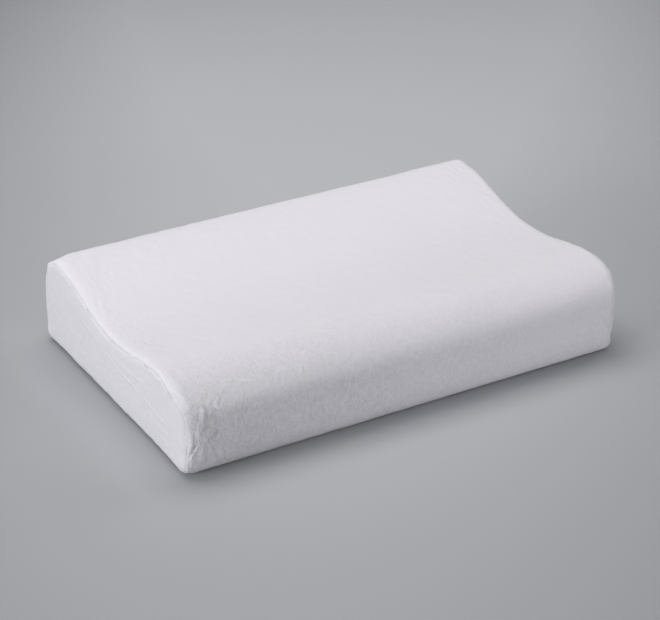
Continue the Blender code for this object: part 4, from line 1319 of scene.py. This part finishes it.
COIL_FROM, COIL_TO = -0.2350, 0.2360
COIL_PITCH, WIRE = 0.0015, 0.00029
for name, node, sign in (("zip_coil_helix_upper", "zip_coil_upper", 1), ("zip_coil_helix_lower", "zip_coil_lower", -1)):
    turns = int((COIL_TO - COIL_FROM - 0.001) / COIL_PITCH)
    per = 12
    angle = np.arange(turns * per + 1) / per * 2 * pi
    x = COIL_FROM + 0.0005 + (0.0 if sign > 0 else COIL_PITCH / 2) + angle / (2 * pi) * COIL_PITCH
    keep = x < COIL_TO - 0.0003
    angle, x = angle[keep], x[keep]
    reach = 0.00095 * np.cos(angle)
    across = BACK_WIDEST_Z + sign * (0.00162 + reach)
    # the heads are flattened and stand a little taller
    high = WALL_Y + 0.00040 - WIRE - 0.00072 + 0.00072 * np.sin(angle)
    high = np.where(reach < -0.0007, WALL_Y + 0.00040 - WIRE - 0.00072 + 0.00060 * np.sin(angle), high)
    tube_piece(name, [np.c_[x, high, across]], WIRE, NYLON, node, "zip_coil", sides=6)

STOP_IN, STOP_OUT = 0.0007, 0.0033


def clamp(name, node, x0, x1, z0, z1):
    """A small stop, squeezed on: rounded, with a waist."""
    cx, cz = (x0 + x1) / 2, (z0 + z1) / 2
    hx, hz = (x1 - x0) / 2 - 0.00002, (z1 - z0) / 2 - 0.00002
    y0, y1 = WALL_Y - 0.00155, WALL_Y + 0.00055
    sections, around = [], 24
    for f in np.linspace(0, 1, 9):
        round_off = (1 - (2 * f - 1) ** 6) ** 0.5 if 0 < f < 1 else 0.55
        waist = 1 - 0.10 * sin(pi * f)
        a = np.linspace(0, 2 * pi, around, endpoint=False)
        c, s = np.cos(a), np.sin(a)
        xs = cx + hx * (0.72 + 0.28 * round_off) * np.sign(c) * np.abs(c) ** 0.45 * waist
        zs = cz + hz * (0.80 + 0.20 * round_off) * np.sign(s) * np.abs(s) ** 0.45
        sections.append(np.c_[xs, np.full(around, y0 + (y1 - y0) * f), zs])
    points = np.vstack(sections)
    faces = []
    for k in range(8):
        for i in range(around):
            j = (i + 1) % around
            faces.append((k * around + i, k * around + j, (k + 1) * around + j, (k + 1) * around + i))
    faces += [tuple(range(around)), tuple(range(8 * around, 9 * around))]
    piece = recalculated(mesh_object(name, points, faces, NYLON))
    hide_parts(node)
    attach(piece, "pillow")
    return piece


clamp("zip_top_clamp_upper", "zip_top_stop_upper", COIL_TO + 0.0003, COIL_TO + 0.0023, BACK_WIDEST_Z + STOP_IN, BACK_WIDEST_Z + STOP_OUT)
clamp("zip_top_clamp_lower", "zip_top_stop_lower", COIL_TO + 0.0003, COIL_TO + 0.0023, BACK_WIDEST_Z - STOP_OUT, BACK_WIDEST_Z - STOP_IN)
clamp("zip_bottom_clamp", "zip_bottom_stop", COIL_FROM - 0.0031, COIL_FROM - 0.0003, BACK_WIDEST_Z - STOP_OUT, BACK_WIDEST_Z + STOP_OUT)

# ---- slider and pull ----
SLIDER_X = sum(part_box("zip_slider"), Vector()).x / 2
HINGE = Vector(frame["joints"][1]["pos_m"]) if "pos_m" in frame["joints"][1] else Vector((SLIDER_X, 0.20715, BACK_WIDEST_Z))


def plate(name, outlines, depth_out, depth_in, edge):
    """A flat plate in the zip's plane with rounded edges, from outlines in (x, z); later outlines are holes."""
    curve = bpy.data.curves.new(name, "CURVE")
    curve.dimensions = "2D"
    curve.fill_mode = "BOTH"
    curve.extrude = (depth_in - depth_out) / 2 - edge
    curve.bevel_depth = edge
    curve.bevel_resolution = 2
    curve.offset = -edge
    for outline in outlines:
        line = curve.splines.new("POLY")
        line.points.add(len(outline) - 1)
        for spot, (x, z) in zip(line.points, outline):
            spot.co = (x, z, 0, 1)
        line.use_cyclic_u = True
    made = bpy.data.objects.new(name, curve)
    scene.collection.objects.link(made)
    graph = bpy.context.evaluated_depsgraph_get()
    mesh = bpy.data.meshes.new_from_object(made.evaluated_get(graph))
    bpy.data.objects.remove(made)
    turn = Matrix(((1, 0, 0, 0), (0, 0, 1, WALL_Y - (depth_in + depth_out) / 2), (0, 1, 0, BACK_WIDEST_Z), (0, 0, 0, 1)))
    mesh.transform(turn)
    return mesh


def joined(name, meshes, paint):
    bm = bmesh.new()
    for mesh in meshes:
        bm.from_mesh(mesh)
    bmesh.ops.remove_doubles(bm, verts=bm.verts, dist=1e-7)
    bmesh.ops.recalc_face_normals(bm, faces=bm.faces)
    made = bpy.data.meshes.new(name)
    bm.to_mesh(made)
    bm.free()
    piece = bpy.data.objects.new(name, made)
    scene.collection.objects.link(piece)
    made.materials.clear()
    made.materials.append(paint)
    made.shade_smooth()
    made.set_sharp_from_angle(angle=radians(50))
    return piece


def body_outline(half, narrow, wide, count=10):
    """A slider plate's outline: narrow where the closed chain leaves, wide and notched where the two halves enter."""
    right = [(-half, 0.0), (-half, narrow * 0.72), (-half * 0.93, narrow * 0.90), (-half * 0.80, narrow), (-half * 0.2, narrow * 1.02), (half * 0.35, wide), (half * 0.82, wide), (half * 0.95, wide * 0.93), (half, wide * 0.80), (half * 0.98, wide * 0.35), (half * 0.90, 0.0)]
    return right + [(x, -z) for x, z in right[::-1][1:-1]]


top_plate = plate("slider_top", [[(SLIDER_X + x, z) for x, z in body_outline(0.0055, 0.0040, 0.0045)]], -0.0017, -0.0007, 0.00022)
low_plate = plate("slider_low", [[(SLIDER_X + x, z) for x, z in body_outline(0.0055, 0.0038, 0.0041)]], 0.0028, 0.0038, 0.00020)
flanges = []
for sign in (-1, 1):
    line = [(SLIDER_X + x, sign * z) for x, z in ((-0.0051, 0.0031), (-0.0052, 0.0038), (-0.0046, 0.0041), (0.0008, 0.0042), (0.0030, 0.0044), (0.0046, 0.0044), (0.0052, 0.0040), (0.0052, 0.0034), (-0.0015, 0.0032))]
    flanges.append(plate("slider_flange", [line], -0.0010, 0.0016, 0.00012))
post = plate("slider_neck", [[(SLIDER_X + x, z) for x, z in ((0.0012, -0.00022), (0.0050, -0.00024), (0.0050, 0.00024), (0.0012, 0.00022))]], -0.0010, 0.0032, 0.00004)
arch = []
for f in np.linspace(0, 1, 25):
    a = pi * f
    x = SLIDER_X - 0.00265 * np.sign(cos(a)) * abs(cos(a)) ** 0.55
    rise = 0.00105 + 0.00285 * abs(sin(a)) ** 0.5
    arch.append((x, WALL_Y + rise, BACK_WIDEST_Z))
points, faces = sweep([arch], 0.00034, sides=10, flatten=1.0)
points[:, 2] = BACK_WIDEST_Z + (points[:, 2] - BACK_WIDEST_Z) * 2.2
bail = bpy.data.meshes.new("slider_bail")
bail.from_pydata([tuple(p) for p in points], [], faces)
slider_piece = joined("zip_slider_body", [top_plate, low_plate, *flanges, post, bail], ENAMEL)
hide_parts("zip_slider")
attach(slider_piece, "slider")

tip, bar = 0.0240 - 0.0030, 0.00055
tab = [(0.00052, 0.0016), (0.00045, 0.0020), (0.0001, 0.00235), (-0.0050, 0.00245), (-0.0070, 0.0023), (-0.0095, 0.0021), (-0.0125, 0.0022), (-0.0150, 0.0025)]
tab += [(-tip + 0.0029 * cos(a), 0.0029 * sin(a)) for a in np.linspace(pi / 2, 1.5 * pi, 21)]
tab += [(x, -z) for x, z in tab[:8][::-1]]
eye = [(-bar - 0.0001, 0.0011), (-bar - 0.0001, -0.0011), (-0.0008, -0.0012), (-0.0041, -0.0012), (-0.0044, -0.0010), (-0.0045, 0.0), (-0.0044, 0.0010), (-0.0041, 0.0012), (-0.0008, 0.0012)]
window = [(-tip + 0.0045 + 0.0010 * cos(a) * (1 if cos(a) < 0 else 4.2), 0.0011 * sin(a)) for a in np.linspace(0, 2 * pi, 24, endpoint=False)]
hinge_depth = WALL_Y - HINGE.y
pull_mesh = plate("pull_tab", [[(HINGE.x + x, z) for x, z in tab], [(HINGE.x + x, z) for x, z in eye], [(HINGE.x + x, z) for x, z in window]], hinge_depth - 0.00055, hinge_depth + 0.00055, 0.00022)
pull_piece = joined("zip_pull_tab", [pull_mesh], ENAMEL)
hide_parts("zip_pull")
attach(pull_piece, "pull")

# =====================================================================================
# Care label: a blank loop of satin sewn into the back seam, lying on the wall
# =====================================================================================
LABEL_X, LABEL_WIDTH, LABEL_DROP = 0.2640, 0.0250, 0.0190
label_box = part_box("care_label")


def label_sheet():
    s = np.linspace(ZIP_S - 0.0004, ZIP_S - LABEL_DROP, 25)
    x = np.linspace(label_box[0].x + 0.0003, label_box[1].x - 0.0003, 33)
    grid = np.empty((len(s), len(x), 3))
    for i, si in enumerate(s):
        f = i / (len(s) - 1)
        for j, xj in enumerate(x):
            g = j / (len(x) - 1)
            p, n = cloth_at(xj, si)
            lift = 0.00030 + 0.0011 * f**1.5 * (0.45 + 0.55 * sin(pi * (0.15 + 0.85 * g)) ** 2) + 0.00035 * sin(5 * g + 3 * f) * f
            grid[i, j] = p + n * lift
    normal = np.array([0.0, 1.0, 0.0])
    return two_skins("care_label_blank", (grid + normal * 0.0003, grid), SATIN, False)


label_piece = label_sheet()
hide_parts("care_label")
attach(label_piece, "pillow")

# =====================================================================================
# Floor, light and camera
# =====================================================================================
def floor_paint():
    """Grey seamless paper with a painted pool of light: a little paler in the middle and darker out to both sides as
    painted shade.
    """
    p = Paint("seamless_paper")
    broad, tooth = p.noise(1.3, 2.0), p.noise(700, 2.0)
    turned = p.node("ShaderNodeMapping", {"Vector": p.where, "Rotation": (0, 0, radians(29.4))}).outputs["Vector"]
    split = p.node("ShaderNodeSeparateXYZ", {"Vector": turned}).outputs
    # painted light and shade: the paper's colour is raised towards the middle and the back as a painted pool of light,
    # and lowered out to both sides as painted shade
    painted_side_shade = p.math("SUBTRACT", split["X"], 0.05)
    painted_side_shade = p.math("MINIMUM", p.math("MULTIPLY", p.math("MULTIPLY", painted_side_shade, painted_side_shade), 1.03), 0.45)
    painted_depth_light = p.math("MULTIPLY", p.math("MAXIMUM", p.math("MINIMUM", split["Y"], 1.3), -0.8), 0.19)
    painted_light_pool = p.math("EXPONENT", p.math("SUBTRACT", p.math("SUBTRACT", painted_depth_light, painted_side_shade), 0.05))
    colour = p.blend(p.math("MULTIPLY", painted_light_pool, 0.98), FLOOR_DARK, FLOOR_LIGHT)
    colour = p.blend(p.ramp(broad, 0.3, 0.7, 0.0, 0.03), colour, (0.50, 0.50, 0.52))
    # painted glow: beyond the lit part the paper emits a little light of its own, so it stays pale out to its edge
    away = p.node("ShaderNodeVectorMath", {0: p.where}, operation="LENGTH").outputs["Value"]
    painted_glow = p.ramp(away, 1.75, 4.0, 0.0, 0.26)
    p.tree.links.new(painted_glow, p.shader.inputs["Emission Strength"])
    p.shader.inputs["Emission Color"].default_value = (0.97, 0.98, 1.0, 1.0)
    return p.finish(colour, p.ramp(tooth, 0.3, 0.7, 0.80, 0.92), p.raise_by(tooth, 0.05, 0.0003), Specular_IOR_Level=0.1)


FLOOR_DARK, FLOOR_LIGHT = (0.0, 0.0, 0.0), (0.544, 0.556, 0.584)
span = np.linspace(-7, 7, 15)
floor_points = [(x, y, -0.0005) for y in span for x in span]
floor_faces = [(r * 15 + c, r * 15 + c + 1, (r + 1) * 15 + c + 1, (r + 1) * 15 + c) for r in range(14) for c in range(14)]
floor = mesh_object("studio_floor", floor_points, floor_faces, floor_paint())


def softbox(name, spot, aim, size, power, colour=(1.0, 1.0, 1.0)):
    lamp = bpy.data.lights.new(name, "AREA")
    lamp.shape = "RECTANGLE"
    lamp.size, lamp.size_y = size
    lamp.energy = power
    lamp.color = colour
    made = bpy.data.objects.new(name, lamp)
    scene.collection.objects.link(made)
    made.location = spot
    made.rotation_mode = "QUATERNION"
    made.rotation_quaternion = (Vector(aim) - Vector(spot)).to_track_quat("-Z", "Y")
    return made


LIGHTS = {
    "key_overhead": ((-0.10, 0.55, 2.10), (0.0, 0.1, 0.0), (1.8, 1.4), 26.8),
    "key_left_high": ((-1.50, 0.70, 1.70), (0.0, 0.0, 0.05), (1.4, 1.2), 4.6),
    "key_back": ((-0.20, 1.90, 1.80), (0.0, 0.0, 0.05), (2.0, 1.0), 2.4),
    "fill_left_low": ((-2.60, -0.40, 0.80), (0.0, 0.0, 0.05), (1.6, 1.0), 34.5),
    "front_low": ((0.45, -4.10, 0.78), (0.0, 0.0, 0.05), (4.2, 1.0), 52.0),
    "right_side": ((2.2, 0.3, 1.9), (0.0, 0.0, 0.05), (1.6, 1.4), 14.0),
}
for name, (spot, aim, size, power) in LIGHTS.items():
    softbox(name, spot, aim, size, power)
WORLD, BAND = 0.05, 0.34
world = bpy.data.worlds.new("studio")
world.use_nodes = True
world.node_tree.nodes["Background"].inputs["Color"].default_value = (0.98, 0.99, 1.0, 1.0)
# a dim room with a paler band low down all round, as studio walls give
nodes, links = world.node_tree.nodes, world.node_tree.links
towards = nodes.new("ShaderNodeTexCoord")
split = nodes.new("ShaderNodeSeparateXYZ")
links.new(towards.outputs["Generated"], split.inputs[0])
last = split.outputs["Z"]
for operation, value in (("POWER", 2.0), ("MULTIPLY", -28.0), ("EXPONENT", 0.0), ("MULTIPLY", BAND), ("ADD", WORLD)):
    step = nodes.new("ShaderNodeMath")
    step.operation = operation
    if operation == "POWER":
        step.operation = "MULTIPLY"
        links.new(last, step.inputs[1])
    else:
        step.inputs[1].default_value = value
    links.new(last, step.inputs[0])
    last = step.outputs[0]
links.new(last, nodes["Background"].inputs["Strength"])
scene.world = world
scene.view_settings.view_transform = "Standard"
scene.view_settings.look = "None"

AZIMUTH, ELEVATION, ROLL = radians(-29.412), radians(27.2535), radians(-0.778)
DISTANCE, LENS = 2.4936, 108.92
back = Vector((sin(AZIMUTH) * cos(ELEVATION), -cos(AZIMUTH) * cos(ELEVATION), sin(ELEVATION)))
across = (-back).cross(Vector((0, 0, 1))).normalized()
upward = across.cross(-back)
aim = Vector((0, 0, 0.04)) + across * 0.0003 + upward * 0.0056
turned_across = across * cos(ROLL) + upward * sin(ROLL)
turned_up = upward * cos(ROLL) - across * sin(ROLL)
aim = Vector((0, 0, 0.04)) + turned_across * 0.0003 + turned_up * 0.0056
camera_data = bpy.data.cameras.new("camera")
camera_data.sensor_width = 36.0
camera_data.lens = LENS
camera_data.clip_end = 50
camera = bpy.data.objects.new("camera", camera_data)
scene.collection.objects.link(camera)
spot = aim + back * DISTANCE
camera.matrix_world = Matrix((
    (turned_across.x, turned_up.x, back.x, spot.x),
    (turned_across.y, turned_up.y, back.y, spot.y),
    (turned_across.z, turned_up.z, back.z, spot.z),
    (0, 0, 0, 1),
))
scene.camera = camera
